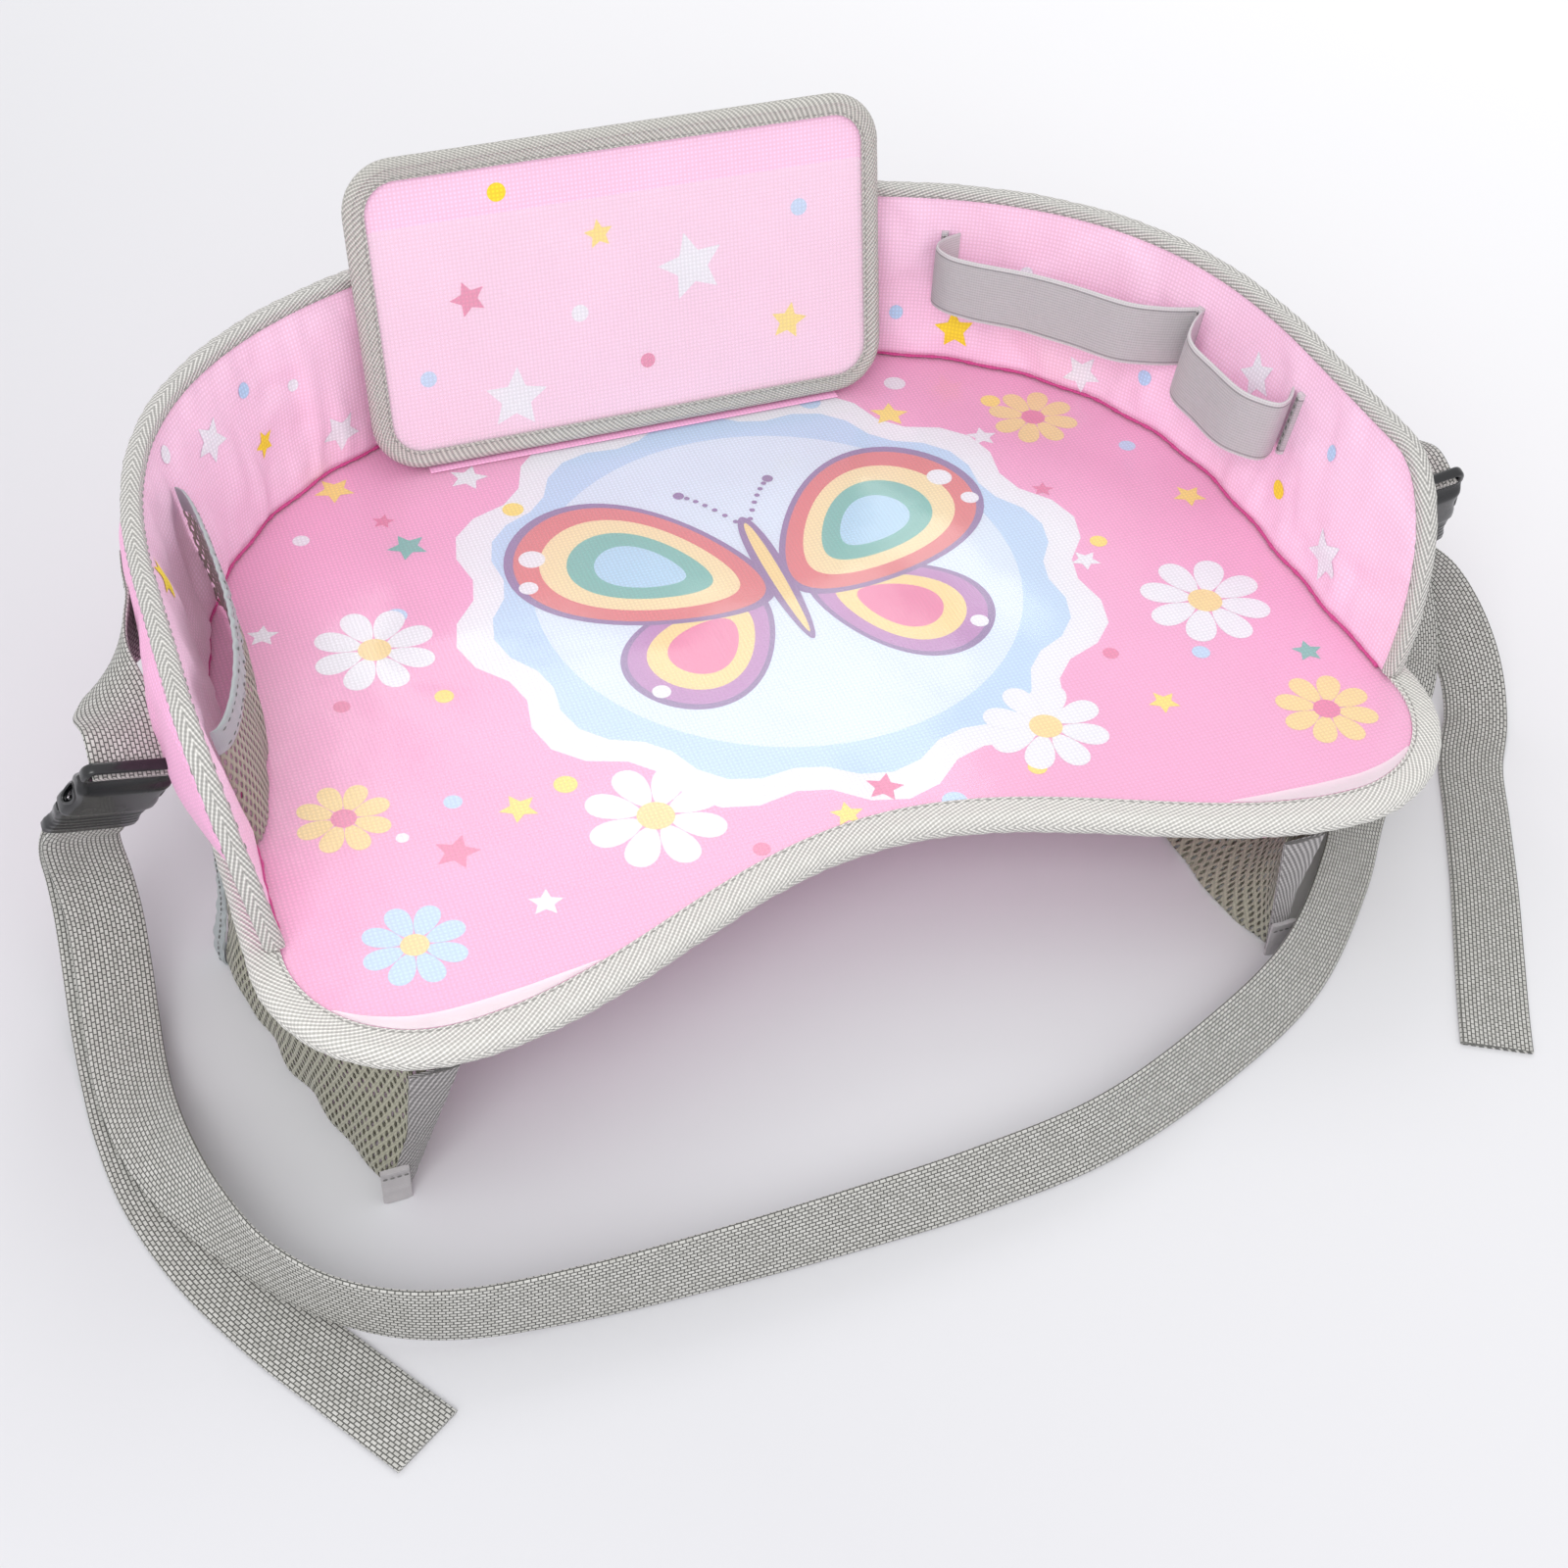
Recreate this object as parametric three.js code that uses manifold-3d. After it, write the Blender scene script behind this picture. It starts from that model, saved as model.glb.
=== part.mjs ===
// A kids travel tray: a stiffened fabric base with a padded wall, a fold-up tablet panel,
// pencil loops, mesh pockets and a waist strap on two side-release buckles.
// Millimetres, +Z up, +X to the right, +Y to the back. The tray stands on its mesh side
// pockets, and the origin is the bottom centre of everything but the free webbing.

import * as THREE from "three";
import { mergeVertices } from "three/addons/utils/BufferGeometryUtils.js";
import Module from "manifold-3d";

const wasm = await Module();
wasm.setup();

// Shared clearances and stock sizes
const CLEARANCE = 0.3;
const CUT_OVERRUN = 1;
const WEBBING = { width: 25, thickness: 1.6 };
const FABRIC = 0.6;

// The tray base, seen from above: two front lobes, a belly curve, straight sides, a round back
const BASE = {
  width: 426,
  depth: 338,
  lobeRadius: 55,
  bellyDepth: 42,
  backCornerDepth: 180,
  underside: 58,
  boardThickness: 2,
  foamThickness: 1.8,
  filmThickness: 0.3,
};
const BACK_CORNER_POWER = 2.35;

const EDGE_BINDING = { thickness: 1.2, leg: 11, bow: 1 };

// The padded wall round the back and the sides
const WALL = {
  height: 74,
  seamInset: 12,
  foamThickness: 3,
  flareAtSides: 12,
  flareAtBack: 3,
  flareStart: 90,
  flareEnd: 250,
  frontEndInset: 58,
  endRound: 42,
  bulge: 4,
  puckerDepth: 1.2,
  puckerPitch: 36,
  bindingThickness: 1,
  bindingLeg: 9,
};

// The tablet panel, which folds forward and down on its lower edge
const PANEL = {
  width: 212,
  height: 122,
  cornerRadius: 20,
  centreX: -8,
  hingeFromBack: 54,
  boardThickness: 1.6,
  filmThickness: 0.3,
  filmHeight: 88,
  bindingWidth: 10,
  bindingThickness: 1,
  tapeWidth: 6,
  tapeThickness: 0.4,
};
const PANEL_LEAN = THREE.MathUtils.degToRad(12);

// Elastic pencil loops on the right inner wall, in lengths along the base edge from the back centre
const PENCIL = {
  start: 138,
  firstSpan: 118,
  secondSpan: 66,
  bandWidth: 25,
  bandThickness: 1.2,
  bottom: 32,
  firstBow: 17,
  secondBow: 20,
  tackWidth: 3,
  tackThickness: 0.8,
};

// The mesh pocket on the left inner wall
const INNER_POCKET = {
  start: 240,
  end: 372,
  rimHeight: 52,
  rimBow: 17,
  footBow: 13,
  meshThickness: 1,
  trimWidth: 10,
  trimThickness: 1.4,
};

// The mesh pockets that hang from the two sides, and that the tray stands on
const SIDE_POCKET = {
  mouthFromFront: 125,
  frontFromFront: 3.4,
  outerInset: 1.5,
  gusset: 20,
  sag: 3,
  meshThickness: 1.2,
  footWidth: 6,
  bindingThickness: 1.2,
  elasticWidth: 9,
  elasticThickness: 1.4,
  tabWidth: 9,
  tabHeight: 16,
  tabThickness: 1.4,
};
// Where each pocket's fold stands on the ground and its front corner hangs, out from the middle
const POCKET_FEET = [
  { side: -1, name: "left", frontX: 184, middleX: 203, mouthX: 216, frontTopX: 175 },
  { side: 1, name: "right", frontX: 136, middleX: 126, mouthX: 150, frontTopX: 143 },
];
const POCKET_FRONT_GUSSET_SHARE = 0.7;
// How late along a pocket its top leaves the base's edge for its own front corner
const POCKET_TUCK_POWER = 4;

// How square the bows of the pencil loops and of the inner pocket are: one is a half sine
const PENCIL_BOW_POWER = 0.7;
const POCKET_BOW_POWER = 0.6;

// The side-release buckles
const BUCKLE = {
  width: 31,
  thickness: 9,
  wall: 1.6,
  socketLength: 21,
  frameLength: 8,
  frameThickness: 4,
  slotHeight: 4,
  windowLength: 11,
  windowStart: 5,
  cavityDepth: 18.5,
  plugBodyLength: 17,
  plugThickness: 6,
  barWidth: 2.6,
  barGap: 3.6,
  tongueWidth: 6,
  tongueLength: 16.5,
  tongueThickness: 3,
  armLength: 16,
  armWidth: 3.2,
  armThickness: 4,
  barbWidth: 1.6,
  barbLength: 5,
  round: 1.5,
};
// Where the middles of each buckle's tab slot and strap end lie, mirrored on the left
const BUCKLES = [
  { side: -1, name: "left", tabEnd: [233, -66, 111], strapEnd: [249, -48, 76] },
  { side: 1, name: "right", tabEnd: [233, -66, 111], strapEnd: [243, -53.6, 71.6] },
];
const BUCKLE_TAB = { rootHeight: 47, sewnFrom: 24, sewnTo: 4, drop: 12 };

// Routes of the free webbing: place, then the direction of the webbing's width
const STRAP_LOOP_ROUTE = [
  { at: [-249.3, -49.2, 75.1], across: [0.926, 0.172, -0.335] },
  { at: [-250.3, -48.2, 72.9], across: [0.926, 0.172, -0.335] },
  { at: [-252.1, -46, 68.9], across: [0.926, 0.172, -0.335] },
  { at: [-252.5, -42, 57], across: [0.99, 0.1, -0.05] },
  { at: [-251.5, -41.5, 44], across: [1, 0.03, 0] },
  { at: [-251, -46.5, 30], across: [1, 0, 0] },
  { at: [-252, -57, 17.5], across: [1, 0, 0.03] },
  { at: [-253.5, -74, 9.5], across: [0.99, 0, 0.13] },
  { at: [-254.5, -97, 7], across: [0.96, 0.02, 0.27] },
  { at: [-253, -121, 9.5], across: [0.86, 0.06, 0.5] },
  { at: [-248, -145, 12.5], across: [0.65, 0.12, 0.75] },
  { at: [-240, -167, 14.5], across: [0.35, 0.13, 0.93] },
  { at: [-229, -188, 15], across: [0.08, 0.06, 1] },
  { at: [-214, -206, 15], across: [0, 0, 1] },
  { at: [-197, -218, 14.9], across: [0, 0, 1] },
  { at: [-176, -225, 14], across: [0, 0.03, 1] },
  { at: [-140, -229, 12.8], across: [0, 0.1, 1] },
  { at: [-100, -231, 12.8], across: [0, 0.18, 0.98] },
  { at: [-55, -231.5, 12.4], across: [0, 0.28, 0.96] },
  { at: [-10, -230.5, 12.1], across: [0, 0.36, 0.93] },
  { at: [36, -225.5, 11.8], across: [-0.08, 0.42, 0.9] },
  { at: [86, -209, 11.2], across: [-0.22, 0.5, 0.84] },
  { at: [134, -185, 10.3], across: [-0.42, 0.5, 0.76] },
  { at: [174, -149, 9.6], across: [-0.62, 0.42, 0.66] },
  { at: [201, -117, 8], across: [-0.78, 0.35, 0.52] },
  { at: [226, -93, 12], across: [-0.86, 0.2, 0.47] },
  { at: [247, -75, 23], across: [-0.88, 0.1, 0.46] },
  { at: [252, -63, 35], across: [-0.92, 0.05, 0.4] },
  { at: [250, -56, 46], across: [-0.96, 0.05, 0.25] },
  { at: [246.5, -53, 56], across: [-0.98, 0.07, 0.02] },
  { at: [244.8, -52.8, 63.9], across: [-0.972, 0.071, -0.18] },
  { at: [243.6, -54.2, 68.6], across: [-0.972, 0.071, -0.224] },
  { at: [242.9, -55.1, 71.3], across: [-0.972, 0.071, -0.224] },
];
const LEFT_TAIL_ROUTE = [
  { at: [-248.9, -46.7, 76.9], across: [0.926, 0.172, -0.335] },
  { at: [-250, -45.4, 74.4], across: [0.926, 0.172, -0.335] },
  { at: [-251.9, -43.2, 70.3], across: [0.94, 0.16, -0.26] },
  { at: [-254, -37.5, 57], across: [0.99, 0.1, -0.05] },
  { at: [-254, -36.5, 43], across: [1, 0.03, 0] },
  { at: [-254.5, -41, 28], across: [1, 0, 0] },
  { at: [-256, -52, 14], across: [1, 0, 0] },
  { at: [-257.5, -68, 5], across: [1, 0, 0] },
  { at: [-258, -90, 1.6], across: [1, 0.02, 0] },
  { at: [-257.5, -112, 1], across: [1, 0.05, 0] },
  { at: [-254, -140, 1], across: [0.97, 0.2, 0] },
  { at: [-245, -170, 1], across: [0.93, 0.36, 0] },
  { at: [-231, -199, 1], across: [0.88, 0.47, 0] },
  { at: [-214, -227, 1], across: [0.84, 0.54, 0] },
  { at: [-197, -254, 1], across: [0.83, 0.55, 0] },
];
const RIGHT_TAIL_ROUTE = [
  { at: [242.9, -52.2, 72.2], across: [-0.972, 0.071, -0.224] },
  { at: [243.6, -51.3, 69.4], across: [-0.972, 0.071, -0.224] },
  { at: [245, -49.5, 64.7], across: [-0.96, 0.12, -0.25] },
  { at: [253, -47, 56], across: [-0.93, 0.22, -0.28] },
  { at: [264, -51, 46], across: [-0.9, 0.35, -0.2] },
  { at: [273, -61, 31], across: [-0.9, 0.42, -0.08] },
  { at: [277, -74, 15], across: [-0.89, 0.45, 0] },
  { at: [273, -88, 4.5], across: [-0.88, 0.47, 0] },
  { at: [259, -107, 1.2], across: [-0.87, 0.49, 0] },
  { at: [245, -132, 1], across: [-0.87, 0.49, 0] },
  { at: [227, -164, 1], across: [-0.87, 0.49, 0] },
  { at: [209, -194, 1], across: [-0.87, 0.49, 0] },
  { at: [194, -219, 1], across: [-0.87, 0.49, 0] },
  { at: [186, -233, 1], across: [-0.87, 0.49, 0] },
];

// How finely the curved pieces are drawn
const STEPS = {
  outlineHalf: 240,
  edgeLoop: 92,
  wallHalf: 26,
  endCorner: 7,
  panelCorner: 6,
  bow: 14,
  innerPocketLevels: 4,
  sidePocket: 8,
  tab: 16,
  strap: 78,
  tail: 38,
};

const PINK = 0xf79acb;
const DEEP_PINK = 0xf48cc4;
const GREY = 0xa5a5a0;
const MESH_GREY = 0x9c9c92;
const BLACK = 0x16171a;
const WHITE = 0xf2f2f2;

const tray = new THREE.Group();

function material(colour, roughness) {
  return new THREE.MeshStandardMaterial({ color: colour, roughness, metalness: 0 });
}

function addPiece(name, geometry, surface, parent = tray) {
  const mesh = new THREE.Mesh(geometry, surface);
  mesh.name = name;
  parent.add(mesh);
  return mesh;
}

const fabricPink = material(PINK, 0.85);
const fabricLining = material(DEEP_PINK, 0.85);
const webbingGrey = material(GREY, 0.9);
const meshGrey = material(MESH_GREY, 0.9);
const buckleBlack = material(BLACK, 0.45);
const boardWhite = material(WHITE, 0.7);
const foamWhite = material(WHITE, 0.95);
const clearFilm = new THREE.MeshStandardMaterial({
  color: WHITE,
  roughness: 0.15,
  metalness: 0,
  transparent: true,
  opacity: 0.35,
});

// A closed solid between two grids of points, outer and inner, each rows by columns.
// With a closed row direction the last row joins the first.
function solidBetween(outer, inner, closedRows = false) {
  const rows = outer.length;
  const columns = outer[0].length;
  const positions = [];
  for (const grid of [outer, inner]) {
    for (const row of grid) {
      for (const p of row) positions.push(p.x, p.y, p.z);
    }
  }
  const at = (side, i, j) => side * rows * columns + (i % rows) * columns + j;
  const index = [];
  const quad = (a, b, c, d) => index.push(a, b, c, a, c, d);
  const rowSpans = closedRows ? rows : rows - 1;
  for (let i = 0; i < rowSpans; i += 1) {
    for (let j = 0; j < columns - 1; j += 1) {
      quad(at(0, i, j), at(0, i + 1, j), at(0, i + 1, j + 1), at(0, i, j + 1));
      quad(at(1, i, j), at(1, i, j + 1), at(1, i + 1, j + 1), at(1, i + 1, j));
    }
    quad(at(0, i + 1, 0), at(0, i, 0), at(1, i, 0), at(1, i + 1, 0));
    const end = columns - 1;
    quad(at(0, i, end), at(0, i + 1, end), at(1, i + 1, end), at(1, i, end));
  }
  if (!closedRows) {
    for (let j = 0; j < columns - 1; j += 1) {
      quad(at(0, 0, j), at(0, 0, j + 1), at(1, 0, j + 1), at(1, 0, j));
      const last = rows - 1;
      quad(at(0, last, j + 1), at(0, last, j), at(1, last, j), at(1, last, j + 1));
    }
  }
  const geometry = new THREE.BufferGeometry();
  geometry.setAttribute("position", new THREE.Float32BufferAttribute(positions, 3));
  geometry.setIndex(index);
  return facingOut(geometry);
}

// Turns every face round where the solid's signed volume is negative
function facingOut(geometry) {
  const p = geometry.getAttribute("position");
  const index = geometry.getIndex().array;
  const [a, b, c] = [new THREE.Vector3(), new THREE.Vector3(), new THREE.Vector3()];
  let volume = 0;
  for (let i = 0; i < index.length; i += 3) {
    a.fromBufferAttribute(p, index[i]);
    b.fromBufferAttribute(p, index[i + 1]);
    c.fromBufferAttribute(p, index[i + 2]);
    volume += a.dot(b.cross(c));
  }
  if (volume < 0) {
    for (let i = 0; i < index.length; i += 3) {
      [index[i + 1], index[i + 2]] = [index[i + 2], index[i + 1]];
    }
  }
  return geometry;
}

function toManifold(geometry) {
  const bare = geometry.clone();
  bare.deleteAttribute("normal");
  bare.deleteAttribute("uv");
  const merged = mergeVertices(bare);
  return new wasm.Manifold(
    new wasm.Mesh({
      numProp: 3,
      vertProperties: new Float32Array(merged.getAttribute("position").array),
      triVerts: new Uint32Array(merged.getIndex().array),
    }),
  );
}

function fromManifold(solid) {
  const mesh = solid.getMesh();
  const geometry = new THREE.BufferGeometry();
  geometry.setAttribute("position", new THREE.BufferAttribute(new Float32Array(mesh.vertProperties), 3));
  geometry.setIndex(new THREE.BufferAttribute(new Uint32Array(mesh.triVerts), 1));
  return geometry;
}

function joined(geometries) {
  return fromManifold(geometries.map(toManifold).reduce((sum, next) => sum.add(next)));
}

function cutAway(geometry, cutters) {
  const whole = toManifold(geometry);
  return fromManifold(cutters.map(toManifold).reduce((rest, next) => rest.subtract(next), whole));
}

// The half outline of the base, from the back centre round the right side to the belly centre
function halfOutline() {
  const halfWidth = BASE.width / 2;
  const halfDepth = BASE.depth / 2;
  const points = [];
  const quarter = STEPS.outlineHalf / 4;
  const cornerY = halfDepth - BASE.backCornerDepth;
  for (let i = 0; i < quarter; i += 1) {
    const turn = (i / quarter) * (Math.PI / 2);
    const x = halfWidth * Math.sin(turn) ** (2 / BACK_CORNER_POWER);
    const y = cornerY + BASE.backCornerDepth * Math.cos(turn) ** (2 / BACK_CORNER_POWER);
    points.push(new THREE.Vector2(x, y));
  }
  const lobeY = BASE.lobeRadius - halfDepth;
  for (let i = 0; i < quarter; i += 1) {
    points.push(new THREE.Vector2(halfWidth, THREE.MathUtils.lerp(cornerY, lobeY, i / quarter)));
  }
  const lobeX = halfWidth - BASE.lobeRadius;
  for (let i = 0; i < quarter; i += 1) {
    const turn = (i / quarter) * (Math.PI / 2);
    const x = lobeX + BASE.lobeRadius * Math.cos(turn);
    const y = lobeY - BASE.lobeRadius * Math.sin(turn);
    points.push(new THREE.Vector2(x, y));
  }
  for (let i = 0; i <= quarter; i += 1) {
    const x = lobeX * (1 - i / quarter);
    const rise = (1 + Math.cos((Math.PI * x) / lobeX)) / 2;
    points.push(new THREE.Vector2(x, BASE.bellyDepth * rise - halfDepth));
  }
  return points;
}

const outline = halfOutline();
const outlineLengths = [0];
for (let i = 1; i < outline.length; i += 1) {
  outlineLengths.push(outlineLengths[i - 1] + outline[i].distanceTo(outline[i - 1]));
}
const HALF_EDGE = outlineLengths[outlineLengths.length - 1];

// The place on the base edge at a length along it from the back centre, positive to the right,
// moved inward by inset
function edgePoint(along, inset) {
  const side = along < 0 ? -1 : 1;
  const length = Math.min(Math.abs(along), HALF_EDGE);
  let i = 1;
  while (i < outline.length - 1 && outlineLengths[i] < length) i += 1;
  const share = (length - outlineLengths[i - 1]) / (outlineLengths[i] - outlineLengths[i - 1]);
  const place = outline[i - 1].clone().lerp(outline[i], share);
  const ahead = outline[Math.min(i + 1, outline.length - 1)];
  const behind = outline[Math.max(i - 2, 0)];
  const tangent = ahead.clone().sub(behind).normalize();
  if (length === 0) tangent.set(1, 0);
  if (length === HALF_EDGE) tangent.set(-1, 0);
  const outward = new THREE.Vector2(-tangent.y, tangent.x);
  place.addScaledVector(outward, -inset);
  return new THREE.Vector2(place.x * side, place.y);
}

// The length along the edge at which the straight side passes a given y
function sideLengthAt(y) {
  const corner = outlineLengths[STEPS.outlineHalf / 4];
  return corner + (BASE.depth / 2 - BASE.backCornerDepth - y);
}

function edgeLoop(inset) {
  const points = [];
  for (let i = 0; i < STEPS.edgeLoop; i += 1) {
    const along = ((i + 0.5) / STEPS.edgeLoop) * 2 * HALF_EDGE - HALF_EDGE;
    points.push(edgePoint(along, inset));
  }
  return points;
}

function plate(inset, bottom, thickness) {
  const shape = new THREE.Shape(edgeLoop(inset));
  const geometry = new THREE.ExtrudeGeometry(shape, { depth: thickness, bevelEnabled: false });
  return geometry.translate(0, 0, bottom);
}

// Base: the layers from the underside up
const plateInset = EDGE_BINDING.thickness + CLEARANCE;
const boardBottom = BASE.underside + FABRIC + CLEARANCE;
const foamBottom = boardBottom + BASE.boardThickness + CLEARANCE;
const coverBottom = foamBottom + BASE.foamThickness + CLEARANCE;
const floorTop = coverBottom + FABRIC;
const filmBottom = floorTop + CLEARANCE;
const filmTop = filmBottom + BASE.filmThickness;
const bindingTop = floorTop + CLEARANCE + EDGE_BINDING.thickness;

addPiece("base_under_cover", plate(plateInset, BASE.underside, FABRIC), fabricPink);
addPiece("base_board", plate(plateInset, boardBottom, BASE.boardThickness), boardWhite);
addPiece("base_foam_pad", plate(plateInset, foamBottom, BASE.foamThickness), foamWhite);
addPiece("base_top_cover", plate(plateInset, coverBottom, FABRIC), fabricPink);
const floorFilm = plate(EDGE_BINDING.leg + CLEARANCE, filmBottom, BASE.filmThickness);
addPiece("clear_floor_film", floorFilm, clearFilm);

function baseEdgeBinding() {
  const { thickness, leg, bow } = EDGE_BINDING;
  const top = floorTop + CLEARANCE;
  const bottom = BASE.underside - CLEARANCE;
  const section = [
    [leg, top + thickness, leg, top],
    [thickness + bow, top + thickness, thickness, top],
    [0, top - bow, thickness, (top + bottom) / 2 + bow],
    [0, bottom + bow, thickness, (top + bottom) / 2 - bow],
    [thickness + bow, bottom - thickness, thickness, bottom],
    [leg, bottom - thickness, leg, bottom],
  ];
  const outer = [];
  const inner = [];
  for (let i = 0; i < STEPS.edgeLoop; i += 1) {
    const along = ((i + 0.5) / STEPS.edgeLoop) * 2 * HALF_EDGE - HALF_EDGE;
    outer.push(section.map(([inset, z]) => lift(edgePoint(along, inset), z)));
    inner.push(section.map(([, , inset, z]) => lift(edgePoint(along, inset), z)));
  }
  return solidBetween(outer, inner, true);
}

function lift(point, z) {
  return new THREE.Vector3(point.x, point.y, z);
}

addPiece("base_edge_binding", baseEdgeBinding(), webbingGrey);

// Wall: places are a length along the edge, a height above the wall's foot, and an offset
// outward from the wall's inner face
const wallFoot = bindingTop + CLEARANCE;
const wallHalfLength = sideLengthAt(WALL.frontEndInset - BASE.depth / 2);
const wallThickness = 2 * FABRIC + 2 * CLEARANCE + WALL.foamThickness;

function flareAt(along) {
  const share = THREE.MathUtils.smoothstep(Math.abs(along), WALL.flareStart, WALL.flareEnd);
  return THREE.MathUtils.lerp(WALL.flareAtBack, WALL.flareAtSides, share);
}

function wallPoint(along, height, offset) {
  const inset = WALL.seamInset - (flareAt(along) * height) / WALL.height - offset;
  return lift(edgePoint(along, inset), wallFoot + height);
}

// The wall's top edge: straight along the top, then a quarter of an ellipse down to each front end.
// Each place has the outward direction across the edge in the wall's own surface.
function wallTopEdge() {
  const flat = wallHalfLength - WALL.endRound;
  const edge = [];
  const corner = (side, turn) => {
    const along = side * (flat + WALL.endRound * Math.sin(turn));
    const across = new THREE.Vector2(
      (side * Math.sin(turn)) / WALL.endRound,
      Math.cos(turn) / WALL.height,
    ).normalize();
    return { along, height: Math.max(WALL.height * Math.cos(turn), FABRIC), across };
  };
  const quarter = Math.PI / 2;
  for (let i = STEPS.endCorner; i > 0; i -= 1) edge.push(corner(-1, (quarter * i) / STEPS.endCorner));
  for (let i = -STEPS.wallHalf; i <= STEPS.wallHalf; i += 1) {
    const along = (flat * i) / STEPS.wallHalf;
    edge.push({ along, height: WALL.height, across: new THREE.Vector2(0, 1) });
  }
  for (let i = 1; i <= STEPS.endCorner; i += 1) edge.push(corner(1, (quarter * i) / STEPS.endCorner));
  return edge;
}

const wallEdge = wallTopEdge();
const LEAST_FREE_SHARE = 0.3;

// The share of the wall's height that its top binding leaves free
function freeShareAt({ height, across }) {
  return Math.max(1 - WALL.bindingLeg / Math.max(across.y * height, FABRIC), LEAST_FREE_SHARE);
}

// Nothing at the wall's bound ends, all of it one rounded corner further in
function awayFromEnds(along) {
  return THREE.MathUtils.smoothstep(wallHalfLength - Math.abs(along), WALL.bindingLeg, WALL.endRound);
}

// How far the outer cover stands off the foam: nothing under the binding, most at mid height
function coverBulge(along, upShare) {
  return WALL.bulge * Math.sin(Math.PI * upShare) * awayFromEnds(along);
}

// How far the lining's puckers stand in from its face, gathered at the seam and gone at the top
function liningPucker(along, upShare) {
  const wave = (1 - Math.cos((2 * Math.PI * along) / WALL.puckerPitch)) / 2;
  return WALL.puckerDepth * wave * (1 - upShare) * awayFromEnds(along);
}

// One layer of the wall, with levels up to its binding and one more under it
function wallLayer(offset, thickness, levels, standOff) {
  const outer = [];
  const inner = [];
  for (const place of wallEdge) {
    const free = place.height * freeShareAt(place);
    const outerRow = [];
    const innerRow = [];
    const add = (height, upShare) => {
      const extra = standOff(place.along, upShare);
      outerRow.push(wallPoint(place.along, height, offset + thickness + extra));
      innerRow.push(wallPoint(place.along, height, offset + extra));
    };
    for (let j = 0; j <= levels; j += 1) add((free * j) / levels, j / levels);
    add(place.height, 1);
    outer.push(outerRow);
    inner.push(innerRow);
  }
  return solidBetween(outer, inner);
}

const foamOffset = FABRIC + CLEARANCE;
const outerCoverOffset = foamOffset + WALL.foamThickness + CLEARANCE;
const noStandOff = () => 0;
const puckered = (along, upShare) => -liningPucker(along, upShare);
addPiece("wall_lining", wallLayer(0, FABRIC, 1, puckered), fabricLining);
addPiece("wall_foam_core", wallLayer(foamOffset, WALL.foamThickness, 1, noStandOff), foamWhite);
addPiece("wall_outer_cover", wallLayer(outerCoverOffset, FABRIC, 4, coverBulge), fabricPink);

function wallTopBinding() {
  const { bindingThickness: thick, bindingLeg: leg } = WALL;
  const near = CLEARANCE;
  const far = CLEARANCE + thick;
  const section = [
    [-far, -leg, -near, -leg],
    [-far, 0, -near, 0],
    [-near, far, -near, near],
    [wallThickness + near, far, wallThickness + near, near],
    [wallThickness + far, 0, wallThickness + near, 0],
    [wallThickness + far, -leg, wallThickness + near, -leg],
  ];
  const outer = [];
  const inner = [];
  for (const { along, height, across } of wallEdge) {
    const place = (offset, beyond) =>
      wallPoint(along + across.x * beyond, Math.max(height + across.y * beyond, 0), offset);
    outer.push(section.map(([offset, beyond]) => place(offset, beyond)));
    inner.push(section.map(([, , offset, beyond]) => place(offset, beyond)));
  }
  return solidBetween(outer, inner);
}

addPiece("wall_top_binding", wallTopBinding(), webbingGrey);

// Tablet panel: its own frame has the hinge line as origin, +X along it, +Y through the panel
// to its back and +Z up its face
const panelHingeY = BASE.depth / 2 - PANEL.hingeFromBack;
const panelDepth = 2 * FABRIC + PANEL.boardThickness + PANEL.filmThickness + 3 * CLEARANCE;
const panelLayerStart = PANEL.bindingThickness + CLEARANCE;
const panelTotal = panelDepth + 2 * panelLayerStart;
const tapeTop = filmTop + CLEARANCE + PANEL.tapeThickness;
const panelHingeZ = tapeTop + CLEARANCE + panelTotal * Math.sin(PANEL_LEAN);
const panel = new THREE.Group();
panel.position.set(PANEL.centreX, panelHingeY, panelHingeZ);
panel.rotation.x = -PANEL_LEAN;
tray.add(panel);

// A rounded rectangle's corner points, drawn in by inset on every side
function panelOutline(inset, top = PANEL.height - inset) {
  const radius = Math.max(PANEL.cornerRadius - inset, PANEL.bindingThickness);
  const halfWidth = PANEL.width / 2 - inset;
  const rounded = top > PANEL.height - PANEL.cornerRadius;
  const points = [];
  const arc = (cx, cz, from) => {
    for (let i = 0; i <= STEPS.panelCorner; i += 1) {
      const turn = from + (i / STEPS.panelCorner) * (Math.PI / 2);
      points.push(new THREE.Vector2(cx + radius * Math.cos(turn), cz + radius * Math.sin(turn)));
    }
  };
  if (rounded) {
    arc(halfWidth - radius, top - radius, 0);
    arc(radius - halfWidth, top - radius, Math.PI / 2);
  } else {
    points.push(new THREE.Vector2(halfWidth, top), new THREE.Vector2(-halfWidth, top));
  }
  arc(radius - halfWidth, inset + radius, Math.PI);
  arc(halfWidth - radius, inset + radius, 1.5 * Math.PI);
  return points;
}

function panelSheet(points, front, thickness) {
  const shape = new THREE.Shape(points);
  const geometry = new THREE.ExtrudeGeometry(shape, { depth: thickness, bevelEnabled: false });
  geometry.rotateX(Math.PI / 2);
  return geometry.translate(0, front + thickness, 0);
}

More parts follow.
